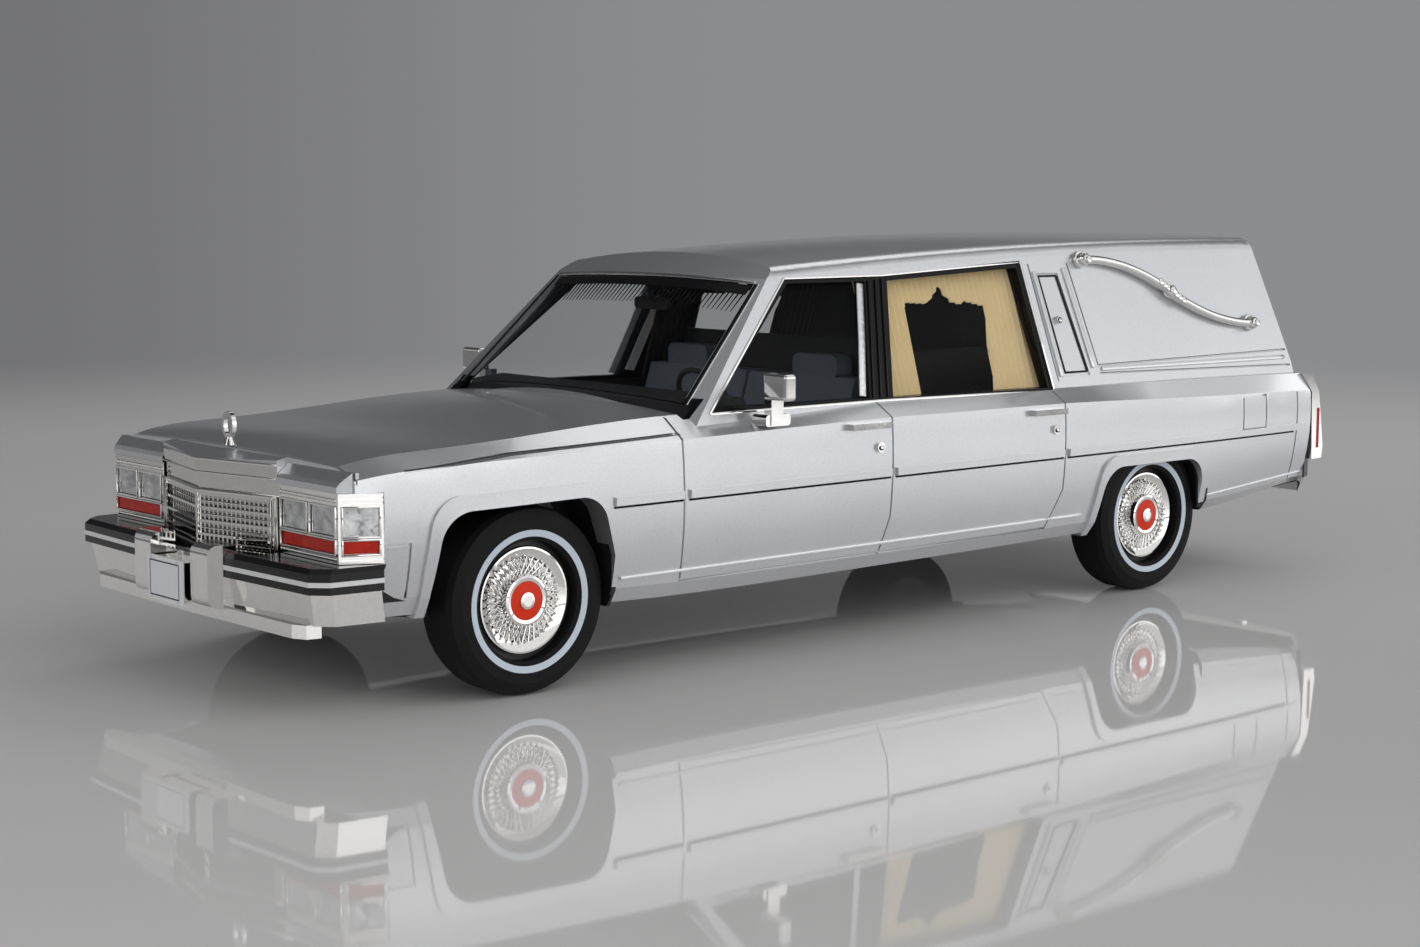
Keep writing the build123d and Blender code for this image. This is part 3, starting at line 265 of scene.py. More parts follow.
# %% [markdown]
# Trim on such a model is plated strip, glued on. It could be a curve with a bevel, but a
# small rectangle extruded from point to point keeps flat faces and sharp ends, as strip has.

# %% Strips laid through points
def spread(start, end, count):
    return [start + (end - start) * index / count for index in range(count + 1)]


def lay_strip(name, points, wide, thick, round_off=0.0):
    """Strip through the points. Wide and thick are each a direction and a size."""
    deselect()
    along = (Vector(points[-1]) - Vector(points[0])).normalized()
    wide_dir = Vector(wide[0]).normalized()
    thick_dir = along.cross(wide_dir).normalized()
    if thick_dir.dot(Vector(thick[0])) < 0:
        thick_dir = -thick_dir
    bpy.ops.mesh.primitive_plane_add(size=1)
    piece = bpy.context.object
    piece.name = name
    sides = (wide_dir * wide[1] * mm, thick_dir * thick[1] * mm, along * mm)
    base = Vector(points[0]) * mm
    rows = [[side[row] for side in sides] + [base[row]] for row in range(3)]
    piece.matrix_world = Matrix(rows + [[0, 0, 0, 1]])
    settle()
    edit_all()
    for before, after in zip(points, points[1:]):
        step = (Vector(after) - Vector(before)) * mm
        bpy.ops.mesh.extrude_region_move(TRANSFORM_OT_translate={"value": step})
    face_outwards()
    if round_off:
        bpy.ops.mesh.bevel(offset=round_off * mm, segments=2, affect="EDGES")
    leave_edit()
    return piece


def across_run(start, end):
    """Direction across a run on the cabin side: up the side where it is level, else forward."""
    level = abs(start[1] - end[1]) < 0.5 * abs(start[0] - end[0])
    return up_the_side if level else forward


print("strip tools ready")

# %% [markdown]
# ## Shared effects
# Real lacquer, plate and moulded plastic are never one flat tone. Two node groups carry
# that: one breaks up a colour and a roughness with soft noise, one gives a height for
# fine grain. Each material places them with its own values.

# %% Node group for an uneven tone
speck_share = 0.5
patch_share = 0.6


def group_socket(group, name, direction, kind, value=None):
    socket = group.interface.new_socket(name=name, in_out=direction, socket_type=kind)
    if value is not None:
        socket.default_value = value
    return socket


uneven_tone = bpy.data.node_groups.new("uneven_tone", "ShaderNodeTree")
group_socket(uneven_tone, "Light", "INPUT", "NodeSocketColor", (0.8, 0.8, 0.8, 1))
group_socket(uneven_tone, "Dark", "INPUT", "NodeSocketColor", (0.6, 0.6, 0.6, 1))
group_socket(uneven_tone, "Patch scale", "INPUT", "NodeSocketFloat", 60.0)
group_socket(uneven_tone, "Speck scale", "INPUT", "NodeSocketFloat", 6000.0)
group_socket(uneven_tone, "Rough low", "INPUT", "NodeSocketFloat", 0.3)
group_socket(uneven_tone, "Rough high", "INPUT", "NodeSocketFloat", 0.4)
group_socket(uneven_tone, "Color", "OUTPUT", "NodeSocketColor")
group_socket(uneven_tone, "Roughness", "OUTPUT", "NodeSocketFloat")
tree = uneven_tone.nodes
wires = uneven_tone.links
entry = tree.new("NodeGroupInput")
leave = tree.new("NodeGroupOutput")
place = tree.new("ShaderNodeTexCoord")
patches = tree.new("ShaderNodeTexNoise")
patches.inputs["Detail"].default_value = 3.0
patch_part = tree.new("ShaderNodeMath")
patch_part.operation = "MULTIPLY"
patch_part.inputs[1].default_value = patch_share
specks = tree.new("ShaderNodeTexVoronoi")
both = tree.new("ShaderNodeMath")
both.operation = "MULTIPLY_ADD"
both.inputs[1].default_value = speck_share
tone = tree.new("ShaderNodeMix")
tone.data_type = "RGBA"
sheen = tree.new("ShaderNodeMapRange")
wires.new(place.outputs["Object"], patches.inputs["Vector"])
wires.new(place.outputs["Object"], specks.inputs["Vector"])
wires.new(entry.outputs["Patch scale"], patches.inputs["Scale"])
wires.new(entry.outputs["Speck scale"], specks.inputs["Scale"])
wires.new(specks.outputs["Distance"], both.inputs[0])
wires.new(patches.outputs["Fac"], patch_part.inputs[0])
wires.new(patch_part.outputs[0], both.inputs[2])
wires.new(both.outputs[0], tone.inputs["Factor"])
wires.new(entry.outputs["Light"], tone.inputs["A"])
wires.new(entry.outputs["Dark"], tone.inputs["B"])
wires.new(tone.outputs["Result"], leave.inputs["Color"])
wires.new(patches.outputs["Fac"], sheen.inputs["Value"])
wires.new(entry.outputs["Rough low"], sheen.inputs["To Min"])
wires.new(entry.outputs["Rough high"], sheen.inputs["To Max"])
wires.new(sheen.outputs["Result"], leave.inputs["Roughness"])
print("group", uneven_tone.name)

# %% Node group for fine grain
fine_grain = bpy.data.node_groups.new("fine_grain", "ShaderNodeTree")
group_socket(fine_grain, "Scale", "INPUT", "NodeSocketFloat", 8000.0)
group_socket(fine_grain, "Height", "OUTPUT", "NodeSocketFloat")
tree = fine_grain.nodes
wires = fine_grain.links
entry = tree.new("NodeGroupInput")
leave = tree.new("NodeGroupOutput")
place = tree.new("ShaderNodeTexCoord")
grain = tree.new("ShaderNodeTexNoise")
grain.inputs["Detail"].default_value = 2.0
wires.new(place.outputs["Object"], grain.inputs["Vector"])
wires.new(entry.outputs["Scale"], grain.inputs["Scale"])
wires.new(grain.outputs["Fac"], leave.inputs["Height"])
print("group", fine_grain.name)

# %% [markdown]
# ## Finishes
# One function builds the usual finish: the uneven tone feeds colour and roughness, the
# grain feeds a bump, and what is the same all over is set on the shader itself.

# %% The usual finish
def place_group(material, group, values):
    """A group's node in the material, with its inputs set by name."""
    placed = material.node_tree.nodes.new("ShaderNodeGroup")
    placed.node_tree = group
    for name, value in values.items():
        placed.inputs[name].default_value = value
    return placed


def make_finish(name, light, dark, rough, patch=60.0, speck=6000.0, grain_scale=8000.0,
                grain_depth=0.0, metallic=0.0, coat=0.0, coat_rough=0.05, specular=0.5):
    material = bpy.data.materials.new(name)
    material.use_nodes = True
    tree, wires = material.node_tree.nodes, material.node_tree.links
    shader = tree["Principled BSDF"]
    surface = place_group(material, uneven_tone, {
        "Light": (*light, 1), "Dark": (*dark, 1), "Patch scale": patch, "Speck scale": speck,
        "Rough low": rough[0], "Rough high": rough[1]})
    wires.new(surface.outputs["Color"], shader.inputs["Base Color"])
    wires.new(surface.outputs["Roughness"], shader.inputs["Roughness"])
    shader.inputs["Metallic"].default_value = metallic
    shader.inputs["Coat Weight"].default_value = coat
    shader.inputs["Coat Roughness"].default_value = coat_rough
    shader.inputs["Specular IOR Level"].default_value = specular
    if grain_depth:
        grains = place_group(material, fine_grain, {"Scale": grain_scale})
        bump = tree.new("ShaderNodeBump")
        bump.inputs["Strength"].default_value = 1.0
        bump.inputs["Distance"].default_value = grain_depth * mm
        wires.new(grains.outputs["Height"], bump.inputs["Height"])
        wires.new(bump.outputs["Normal"], shader.inputs["Normal"])
    return material


print("usual finish ready")

# %% [markdown]
# The body is sprayed silver under clear lacquer, and the trim is vacuum plated. Lacquer is
# a metallic base with a coat over it. Plate is pure metal, a little uneven, so that it
# doesn't mirror like glass. The foil strip is crinkled, which a deep grain gives.

# %% Lacquer, plate and metal
silver_lacquer = make_finish(
    "silver_lacquer", (0.80, 0.81, 0.83), (0.62, 0.63, 0.65), rough=(0.27, 0.30),
    patch=45, speck=7000, metallic=0.7, coat=0.4, coat_rough=0.06)
bright_plate = make_finish(
    "bright_plate", (0.93, 0.92, 0.90), (0.80, 0.79, 0.77), rough=(0.04, 0.10),
    patch=300, speck=3000, grain_scale=700, grain_depth=0.003, metallic=1.0)
crinkled_foil = make_finish(
    "crinkled_foil", (0.90, 0.91, 0.93), (0.66, 0.67, 0.69), rough=(0.12, 0.3),
    patch=2500, grain_scale=2600, grain_depth=0.12, metallic=0.45, coat=0.5)
axle_steel = make_finish(
    "axle_steel", (0.55, 0.55, 0.56), (0.42, 0.42, 0.43), rough=(0.25, 0.4), metallic=1.0)
print("lacquer, plate and metal ready")

# %% [markdown]
# Chassis, cabin, posts and tyres are black plastic, resin or rubber. A low specular level
# keeps most of them truly black beside the bright plate, and a grain keeps plastic and
# rubber from looking like paint. Only the posts and window surrounds are glossy.

# %% Black finishes
dull = 0.15
satin_black = make_finish(
    "satin_black", (0.035, 0.035, 0.037), (0.02, 0.02, 0.022), rough=(0.4, 0.55),
    grain_depth=0.01, specular=dull)
cabin_black = make_finish(
    "cabin_black", (0.03, 0.03, 0.032), (0.014, 0.014, 0.016), rough=(0.5, 0.65),
    grain_depth=0.015, specular=dull)
gloss_black = make_finish(
    "gloss_black", (0.012, 0.012, 0.013), (0.006, 0.006, 0.007), rough=(0.14, 0.22),
    specular=dull)
strip_rubber = make_finish(
    "strip_rubber", (0.014, 0.014, 0.015), (0.007, 0.007, 0.008), rough=(0.10, 0.18),
    grain_depth=0.002, specular=0.3)
tyre_rubber = make_finish(
    "tyre_rubber", (0.014, 0.014, 0.015), (0.007, 0.007, 0.008), rough=(0.5, 0.65),
    grain_scale=4000, grain_depth=0.03, specular=dull)
wheel_black = make_finish(
    "wheel_black", (0.03, 0.03, 0.03), (0.015, 0.015, 0.015), rough=(0.35, 0.5))
print("black finishes ready")

# %% [markdown]
# Seat and curtains are moulded plastic, the whitewalls and hub discs are painted, and the
# number plates are printed. All take the usual finish with their own colours.

# %% Coloured finishes
seat_plastic = make_finish(
    "seat_plastic", (0.125, 0.148, 0.18), (0.08, 0.096, 0.12), rough=(0.45, 0.6),
    grain_scale=5000, grain_depth=0.02)
curtain_plastic = make_finish(
    "curtain_plastic", (1.0, 0.80, 0.47), (0.90, 0.68, 0.36), rough=(0.5, 0.65),
    grain_scale=6000, grain_depth=0.02)
stripe_white = make_finish(
    "stripe_white", (0.86, 0.87, 0.88), (0.76, 0.77, 0.78), rough=(0.25, 0.35))
plate_white = make_finish(
    "plate_white", (0.94, 0.95, 0.97), (0.88, 0.89, 0.91), rough=(0.3, 0.4))
border_ink = make_finish(
    "border_ink", (0.02, 0.03, 0.07), (0.01, 0.018, 0.05), rough=(0.4, 0.5))
whitewall_band = make_finish(
    "whitewall_band", (0.70, 0.78, 0.86), (0.60, 0.69, 0.78), rough=(0.4, 0.5))
hub_enamel = make_finish(
    "hub_enamel", (0.90, 0.045, 0.008), (0.74, 0.025, 0.005), rough=(0.15, 0.25),
    coat=0.1, specular=dull)
print("finishes", len(bpy.data.materials))

# %% [markdown]
# ## Clear glazing and lamp lenses
# The windows are thin clear pressings. Rays from the lamps pass them by a Transparent shader, so that the
# cabin is lit as through real glass. A low index keeps so thin a pane from bending what is seen through it.
# The lamp lenses carry painted reflections: a patchy metal under a clear coat, bright and dark in blotches,
# stands in for the shine of a reflector, without any depth behind it.

# %% Window glass
def make_glass(name, tint, dark_share, rough, ior):
    material = bpy.data.materials.new(name)
    material.use_nodes = True
    tree, wires = material.node_tree.nodes, material.node_tree.links
    shader = tree["Principled BSDF"]
    shader.inputs["Transmission Weight"].default_value = 1.0
    shader.inputs["IOR"].default_value = ior
    smear = place_group(material, uneven_tone, {
        "Light": (*tint, 1), "Dark": (*[v * dark_share for v in tint], 1), "Patch scale": 80,
        "Rough low": rough[0], "Rough high": rough[1]})
    wires.new(smear.outputs["Color"], shader.inputs["Base Color"])
    wires.new(smear.outputs["Roughness"], shader.inputs["Roughness"])
    path = tree.new("ShaderNodeLightPath")
    clear = tree.new("ShaderNodeBsdfTransparent")
    clear.inputs["Color"].default_value = (*tint, 1)
    mix = tree.new("ShaderNodeMixShader")
    wires.new(path.outputs["Is Shadow Ray"], mix.inputs["Fac"])
    wires.new(shader.outputs["BSDF"], mix.inputs[1])
    wires.new(clear.outputs["BSDF"], mix.inputs[2])
    wires.new(mix.outputs["Shader"], tree["Material Output"].inputs["Surface"])
    return material


window_glass = make_glass("window_glass", (0.92, 0.93, 0.93), 0.96, rough=(0.0, 0.01), ior=1.09)
print("glass", window_glass.name)

# %% Lamp lenses with painted reflections
# Painted reflections: the bright and dark patches of this coated metal stand in for what the lamps reflect.
lamp_glass_painted_reflections = make_finish(
    "lamp_glass_painted_reflections", (0.96, 0.97, 0.98), (0.14, 0.145, 0.15), rough=(0.05, 0.16),
    patch=330, speck=900, grain_scale=700, grain_depth=0.09, metallic=0.75, coat=1.0)
lamp_red = make_finish(
    "lamp_red", (0.78, 0.025, 0.006), (0.42, 0.012, 0.004), rough=(0.2, 0.3),
    patch=700, speck=1500, grain_scale=1500, grain_depth=0.02, coat=0.1, specular=0.2)
print("lenses ready")

# %% [markdown]
# ## Body lacquer
# The shell is one casting: silver outside, black inside the cabin and in the wheel wells.
# Two materials would need its loose triangles to be sorted, so one material tells the
# sides apart. Faces that look inwards or down take the black, and so do those near a
# wheel's centre, but not the rim round the windshield.

# %% Masks from place and facing
def calculator(material):
    """Gives a function that adds Math nodes to the material, on sockets or numbers."""
    tree, wires = material.node_tree.nodes, material.node_tree.links

    def calculate(operation, first, second=0.0):
        step = tree.new("ShaderNodeMath")
        step.operation = operation
        for index, value in enumerate((first, second)):
            if isinstance(value, (int, float)):
                step.inputs[index].default_value = value
            else:
                wires.new(value, step.inputs[index])
        return step.outputs[0]

    return calculate


def place_and_facing(material):
    """The x, y and z of a point on the piece, and those of its normal, in metres."""
    tree, wires = material.node_tree.nodes, material.node_tree.links
    coordinates = tree.new("ShaderNodeTexCoord")
    spot = tree.new("ShaderNodeSeparateXYZ")
    facing = tree.new("ShaderNodeSeparateXYZ")
    wires.new(coordinates.outputs["Object"], spot.inputs[0])
    wires.new(coordinates.outputs["Normal"], facing.inputs[0])
    return spot.outputs, facing.outputs


def turn_to(material, socket_name, mask, value):
    """Where the mask is one, the shader's socket takes the value."""
    tree, wires = material.node_tree.nodes, material.node_tree.links
    socket = tree["Principled BSDF"].inputs[socket_name]
    mix = tree.new("ShaderNodeMix")
    mix.data_type = "FLOAT" if isinstance(value, float) else "RGBA"
    wires.new(mask, mix.inputs["Factor"])
    wires.new(socket.links[0].from_socket, mix.inputs["A"])
    mix.inputs["B"].default_value = value
    wires.new(mix.outputs["Result"], socket)


print("masks ready")

# %% Body lacquer with a black inside
cabin_floor = 9.5 * mm
cabin_reach = 20.0 * mm
inward_limit = -4.0 * mm
downward_limit = -0.25
rim_slant, rim_low = 50.8 * mm, 23.5 * mm
well_radius, well_reach = 9.3 * mm, 21.6 * mm
inside_black, inside_rough = (0.012, 0.012, 0.013, 1), 0.5
outside_metallic, outside_coat = 0.8, 0.5
body_lacquer = silver_lacquer.copy()
body_lacquer.name = "body_lacquer"
calculate = calculator(body_lacquer)
(x, y, z), (_, normal_y, normal_z) = place_and_facing(body_lacquer)
half_width = calculate("ABSOLUTE", y)
above = calculate("GREATER_THAN", z, cabin_floor)
within = calculate("LESS_THAN", half_width, cabin_reach)
inward = calculate("LESS_THAN", calculate("MULTIPLY", y, normal_y), inward_limit)
downward = calculate("LESS_THAN", normal_z, downward_limit)
inner = calculate("MULTIPLY", calculate("MAXIMUM", inward, downward), above)
inner = calculate("MULTIPLY", inner, within)
slant = calculate("ADD", x, calculate("MULTIPLY", z, windshield_rake))
past_slant = calculate("GREATER_THAN", slant, rim_slant)
at_rim = calculate("MULTIPLY", past_slant, calculate("GREATER_THAN", z, rim_low))
inner = calculate("MULTIPLY", inner, calculate("SUBTRACT", 1.0, at_rim))
for centre in (front_axle_x * mm, at(rear_axle_station) * mm):
    reach = calculate("POWER", calculate("SUBTRACT", x, centre), 2)
    climb = calculate("POWER", calculate("SUBTRACT", z, tyre_radius * mm), 2)
    near = calculate("LESS_THAN", calculate("ADD", reach, climb), well_radius ** 2)
    deep = calculate("LESS_THAN", half_width, well_reach)
    inner = calculate("MAXIMUM", inner, calculate("MULTIPLY", near, deep))
turn_to(body_lacquer, "Base Color", inner, inside_black)
turn_to(body_lacquer, "Roughness", inner, inside_rough)
outside = calculate("SUBTRACT", 1.0, inner)
wires, shader = body_lacquer.node_tree.links, body_lacquer.node_tree.nodes["Principled BSDF"]
wires.new(calculate("MULTIPLY", outside, outside_metallic), shader.inputs["Metallic"])
wires.new(calculate("MULTIPLY", outside, outside_coat), shader.inputs["Coat Weight"])
print("body lacquer", len(body_lacquer.node_tree.nodes), "shader nodes")

# %% [markdown]
# ## Lined curtains
# The curtains are cream outside and black on the side that looks into the cabin. The same
# inward test serves, joined to the cream finish by its colour alone.

# %% Curtain finish with a black lining
lining_black = (0.012, 0.011, 0.010, 1)
calculate = calculator(curtain_plastic)
(_, y, _), (_, normal_y, _) = place_and_facing(curtain_plastic)
lining = calculate("LESS_THAN", calculate("MULTIPLY", y, normal_y), 0.0)
turn_to(curtain_plastic, "Base Color", lining, lining_black)
print("curtain lining ready")

# %% [markdown]
# ## Finishes on the solids
# Each solid already names its material slot, so a table from slot to finish is enough.
# The vent panels and the side mouldings look silver in the photograph, neither black nor
# plated as their slots say, so they take the lacquer.

# %% Put the finishes on the solids
finishes = {
    "body_paint": body_lacquer, "chassis_black": satin_black, "cabin_black": cabin_black,
    "seat_blue": seat_plastic, "curtain_cream": curtain_plastic, "window_black": gloss_black,
    "clear_glazing": window_glass, "chrome_trim": bright_plate, "lamp_clear": lamp_glass_painted_reflections,
    "lamp_red": lamp_red, "rubber_black": strip_rubber, "stripe_white": stripe_white,
    "plate_white": plate_white, "tyre_black": tyre_rubber, "whitewall": whitewall_band,
    "wheel_black": wheel_black, "hub_red": hub_enamel, "axle_steel": axle_steel,
}
for node in nodes.values():
    for holder in node.material_slots:
        holder.material = finishes[holder.material.name.split(".")[0]]
for name in ("vent_panels", "side_mouldings"):
    nodes[name].material_slots[0].material = silver_lacquer
print("dressed", len(nodes), "solids")

# %% [markdown]
# ## Wheel covers
# The real covers are pressed as two layers of fine wires between a bright ring and the red
# hub. The dish is drawn as a ring of edges pulled in step by step, and one wire of each
# layer is spun round into its set. The same cover is then copied to the four wheels.

# %% One wheel cover, facing +Y with its back on the origin
cover_radius = 4.75
ring_sides = 96
cover_profile = [  # radius, height
    (4.75, 0.45), (4.66, 0.6), (4.5, 0.62), (4.1, 0.42), (3.75, 0.3), (3.6, 0.12), (2.5, 0.2),
    (2.3, 0.62), (2.2, 0.92), (2.0, 0.99), (1.72, 0.93), (1.70, 0.62)]
deselect()
bpy.ops.mesh.primitive_circle_add(vertices=ring_sides, radius=cover_radius * mm,
                                  fill_type="NOTHING", rotation=(math.radians(90), 0, 0))
dish = bpy.context.object
dish.name = "cover_dish"
settle()
edit_all("EDGE")
radius_now, height_now = cover_radius, 0.0
for radius_next, height_next in cover_profile:
    pull = (0, (height_next - height_now) * mm, 0)
    bpy.ops.mesh.extrude_edges_move(TRANSFORM_OT_translate={"value": pull})
    share = radius_next / radius_now
    bpy.ops.transform.resize(value=(share, 1, share), center_override=(0, height_next * mm, 0))
    radius_now, height_now = radius_next, height_next
face_outwards()
leave_edit()
print("dish", len(dish.data.polygons), "faces")

# %% The two layers of wires
wire_count = 36
wire_radius, wire_length = 0.085, 1.55
wire_middle_radius = 3.02
wire_slant, wire_tilt = 22, 6
merge_distance = 0.000001


def wire_layer(name, height, slant):
    """One slanted wire between hub and ring, spun round into its set."""
    middle = (0, height * mm, wire_middle_radius * mm)
    deselect()
    bpy.ops.mesh.primitive_cylinder_add(vertices=8, radius=wire_radius * mm,
                                        depth=wire_length * mm, location=middle)
    wire = bpy.context.object
    wire.name = name
    settle()
    edit_all()
    bpy.ops.transform.rotate(value=math.radians(slant), orient_axis="Y", center_override=middle)
    bpy.ops.transform.rotate(value=math.radians(wire_tilt), orient_axis="X", center_override=middle)
    bpy.ops.mesh.spin(steps=wire_count, dupli=True, angle=2 * math.pi, center=(0, 0, 0), axis=(0, 1, 0))
    bpy.ops.mesh.select_all(action="SELECT")
    bpy.ops.mesh.remove_doubles(threshold=merge_distance)
    face_outwards()
    leave_edit()
    return wire


wires_out = wire_layer("wires_out", 0.52, wire_slant)
wires_in = wire_layer("wires_in", 0.38, -wire_slant)
cover = join_pieces([dish, wires_out, wires_in], "cover_master")
print("cover", len(cover.data.polygons), "faces")

# %% Covers on the four wheels
cover_back = 1.5
cover_places = [  # end, station, face of the wheel, body
    ("front", 0.0, 21.2, "front_wheelset"),
    ("rear", rear_axle_station, 20.7, "rear_wheelset"),
]
for end, station, face, body in cover_places:
    left = copy_piece(cover, end + "_wire_covers", (at(station), face - cover_back, tyre_radius))
    pair = with_mirror(left)
    finish_piece(pair, body, bright_plate)
    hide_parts(end + "_wheel_covers")
hold(cover)
bpy.ops.object.delete()
print("covers on both axles")

# %% [markdown]
# ## Curtains
# The curtains behind the rear doors hang in pleats and are drawn apart in a swag. On the
# model they are thin mouldings, so no cloth is simulated: a grid is folded by moving its
# columns, cut along the parting, leaned with the window and thickened.

# %% A pleated grid
pleat_columns = 116
curtain_rows = 30
curtain_front, curtain_rear = -44.9, -69.0
curtain_low, curtain_high = 22.7, 36.0
curtain_middle_z = (curtain_low + curtain_high) / 2
curtain_inset = 1.95
curtain_y = cabin_side(curtain_middle_z) - curtain_inset
curtain_thickness = 0.12
pleat_depth = 0.16
pleat_width = 4
deselect()
bpy.ops.mesh.primitive_grid_add(x_subdivisions=pleat_columns, y_subdivisions=curtain_rows,
                                size=1, rotation=(math.radians(90), 0, 0))
drape = bpy.context.object
drape.name = "pleated_curtains"
drape.scale = ((curtain_front - curtain_rear) * mm, (curtain_high - curtain_low) * mm, 1)
curtain_middle_x = at((curtain_front + curtain_rear) / 2)
drape.location = Vector((curtain_middle_x, curtain_y, curtain_middle_z)) * mm
settle()
column_width = (curtain_front - curtain_rear) / pleat_columns
hold(drape)
for phase, shift in ((1, pleat_depth), (3, -pleat_depth)):
    bpy.ops.object.mode_set(mode="EDIT")
    bpy.ops.mesh.select_mode(type="VERT")
    bpy.ops.mesh.select_all(action="DESELECT")
    leave_edit()
    for vertex in drape.data.vertices:
        column = round((vertex.co.x / mm - at(curtain_rear)) / column_width)
        vertex.select = column % pleat_width == phase
    bpy.ops.object.mode_set(mode="EDIT")
    bpy.ops.transform.translate(value=(0, shift * mm, 0))
print("pleats", pleat_columns // pleat_width)

# %% Parting and swag
parting = [  # station, height
    (-51.15, 21.5), (-51.35, 32.5), (-54.5, 32.3), (-55.2, 32.55), (-55.96, 33.13), (-56.96, 34.05),
    (-57.54, 33.2), (-58.27, 32.42), (-59.74, 32.05), (-60.42, 32.4), (-63.15, 31.8), (-61.75, 21.5)]


def inside(points, s, z):
    """Whether s, z lies inside the outline."""
    within = False
    for (s1, z1), (s2, z2) in zip(points, points[1:] + points[:1]):
        if (z1 > z) != (z2 > z) and s < s1 + (z - z1) * (s2 - s1) / (z2 - z1):
            within = not within
    return within


bpy.ops.mesh.select_mode(type="FACE")
for (s1, z1), (s2, z2) in zip(parting, parting[1:]):
    bpy.ops.mesh.select_all(action="SELECT")
    across = Vector((z2 - z1, 0, s1 - s2)).normalized()
    bpy.ops.mesh.bisect(plane_co=Vector((at(s1), 0, z1)) * mm, plane_no=across, threshold=0.0000001)
leave_edit()
pick_faces(drape, lambda centre, normal: inside(parting, centre.x / mm - front_axle_x, centre.z / mm))
bpy.ops.mesh.delete(type="FACE")
bpy.ops.mesh.select_all(action="SELECT")
pivot = (0, curtain_y * mm, curtain_middle_z * mm)
bpy.ops.transform.rotate(value=-lean, orient_axis="X", center_override=pivot)
leave_edit()
print("parted curtain", len(drape.data.polygons), "faces")

# %% Curtains on both sides
hold(drape)
bpy.ops.object.modifier_add(type="SOLIDIFY")
drape.modifiers[-1].thickness = curtain_thickness * mm
bpy.ops.object.modifier_apply(modifier=drape.modifiers[-1].name)
drape = with_mirror(drape)
finish_piece(drape, "root", curtain_plastic, 60)
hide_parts("curtains_left", "curtains_right")
print("curtains", drape.dimensions)

# %% [markdown]
# ## Wall behind the front seat
# A black wall closes the load space and shows as a dark shape through the windows. It is a
# block whose top is drawn in a little, with softened edges.

# %% Wall behind the front seat
wall_rear, wall_front = -47.9, -47.3
wall_half, wall_low, wall_high = 15.2, 12.0, 28.7
partition = start_block("partition_wall", (at(wall_rear), -wall_half, wall_low),
                        (at(wall_front), wall_half, wall_high))
pick_faces(partition, lambda centre, normal: normal.z > 0.9)
bpy.ops.transform.resize(value=(1, 0.9, 1))
bpy.ops.mesh.select_all(action="SELECT")
bpy.ops.mesh.bevel(offset=0.15 * mm, segments=2, affect="EDGES")
leave_edit()
finish_piece(partition, "root", cabin_black)

# %% [markdown]
# ## Trim on the body sides
# Below each moulding runs a thin black line of painted shadow, a silver strip covers the sill between the
# arches, and a silver edge closes the rear quarter. All follow the bulge of the side, so their points are
# felt out with rays.

# %% Painted shadow: black line below the mouldings
moulding_runs = [(-8.4, -16.2), (-17.0, -42.7), (-43.5, -68.4), (-69.2, -110.0)]
moulding_front_z, moulding_rear_z = 16.35, 16.65
moulding_front_station, moulding_rear_station = -8.4, -112.6
shadow_drop = 0.52


def moulding_z(station):
    share = (moulding_front_station - station) / (moulding_front_station - moulding_rear_station)
    return moulding_front_z + share * (moulding_rear_z - moulding_front_z)


def side_strip(name, run, z_of, count, wide, thick, lift, round_off=0.0):
    """Strip on the left side that follows the body between two stations."""
    points = [feel_side("body_shell", s, z_of(s), lift) for s in spread(run[0], run[1], count)]
    return lay_strip(name, points, (upward, wide), (leftward, thick), round_off)


# Painted shadow: a thin black line laid just below each moulding, where the moulding casts its shadow.
lines = [side_strip("moulding_shadow_part", run, lambda s: moulding_z(s) - shadow_drop,
                    count=8, wide=0.2, thick=0.16, lift=0.04)
         for run in moulding_runs]
moulding_painted_shadows = with_mirror(join_pieces(lines, "moulding_painted_shadows"))
finish_piece(moulding_painted_shadows, "root", gloss_black)

# %% Sill strips and quarter edges
sill_run, sill_z, sill_rise = (-9.6, -72.4), 9.35, 0.004
quarter_run, quarter_z, quarter_rise = (-94.2, -112.9), 9.95, 0.068
sill = side_strip("sill_strips", sill_run, lambda s: sill_z + sill_rise * (sill_run[0] - s),
                  count=24, wide=0.32, thick=0.3, lift=0.1, round_off=0.06)
quarter = side_strip("quarter_part", quarter_run, lambda s: quarter_z + quarter_rise * (quarter_run[0] - s),
                     count=10, wide=0.26, thick=0.3, lift=0.08, round_off=0.05)
sill_strips = with_mirror(join_pieces([sill, quarter], "sill_strips"))
finish_piece(sill_strips, "root", silver_lacquer)

# %% [markdown]
# ## Window trim
# Bright lines frame the side windows. The posts between them are gloss black with fine
# upright ribs. All lie on the leaning cabin side, so its formula gives their points.

# %% Bright lines round the side windows
window_runs = [  # width, then stations and heights
    (0.24, [(-21.3, 23.15), (-44.0, 23.2), (-69.2, 22.9)]),
    (0.24, [(-34.1, 35.2), (-47.5, 35.25), (-68.3, 36.25)]),
    (0.26, [(-21.3, 23.2), (-34.1, 35.2)]),
    (0.26, [(-68.4, 36.2), (-69.2, 22.95)]),
]
trim_lift = 0.02
trims = []
for wide, run in window_runs:
    points = [side_spot(s, z, trim_lift) for s, z in run]
    across = across_run(run[0], run[-1])
    trims.append(lay_strip("window_trim_part", points, (across, wide), (leftward, 0.22), 0.05))
window_trims = with_mirror(join_pieces(trims, "window_trims"))
finish_piece(window_trims, "root", bright_plate)

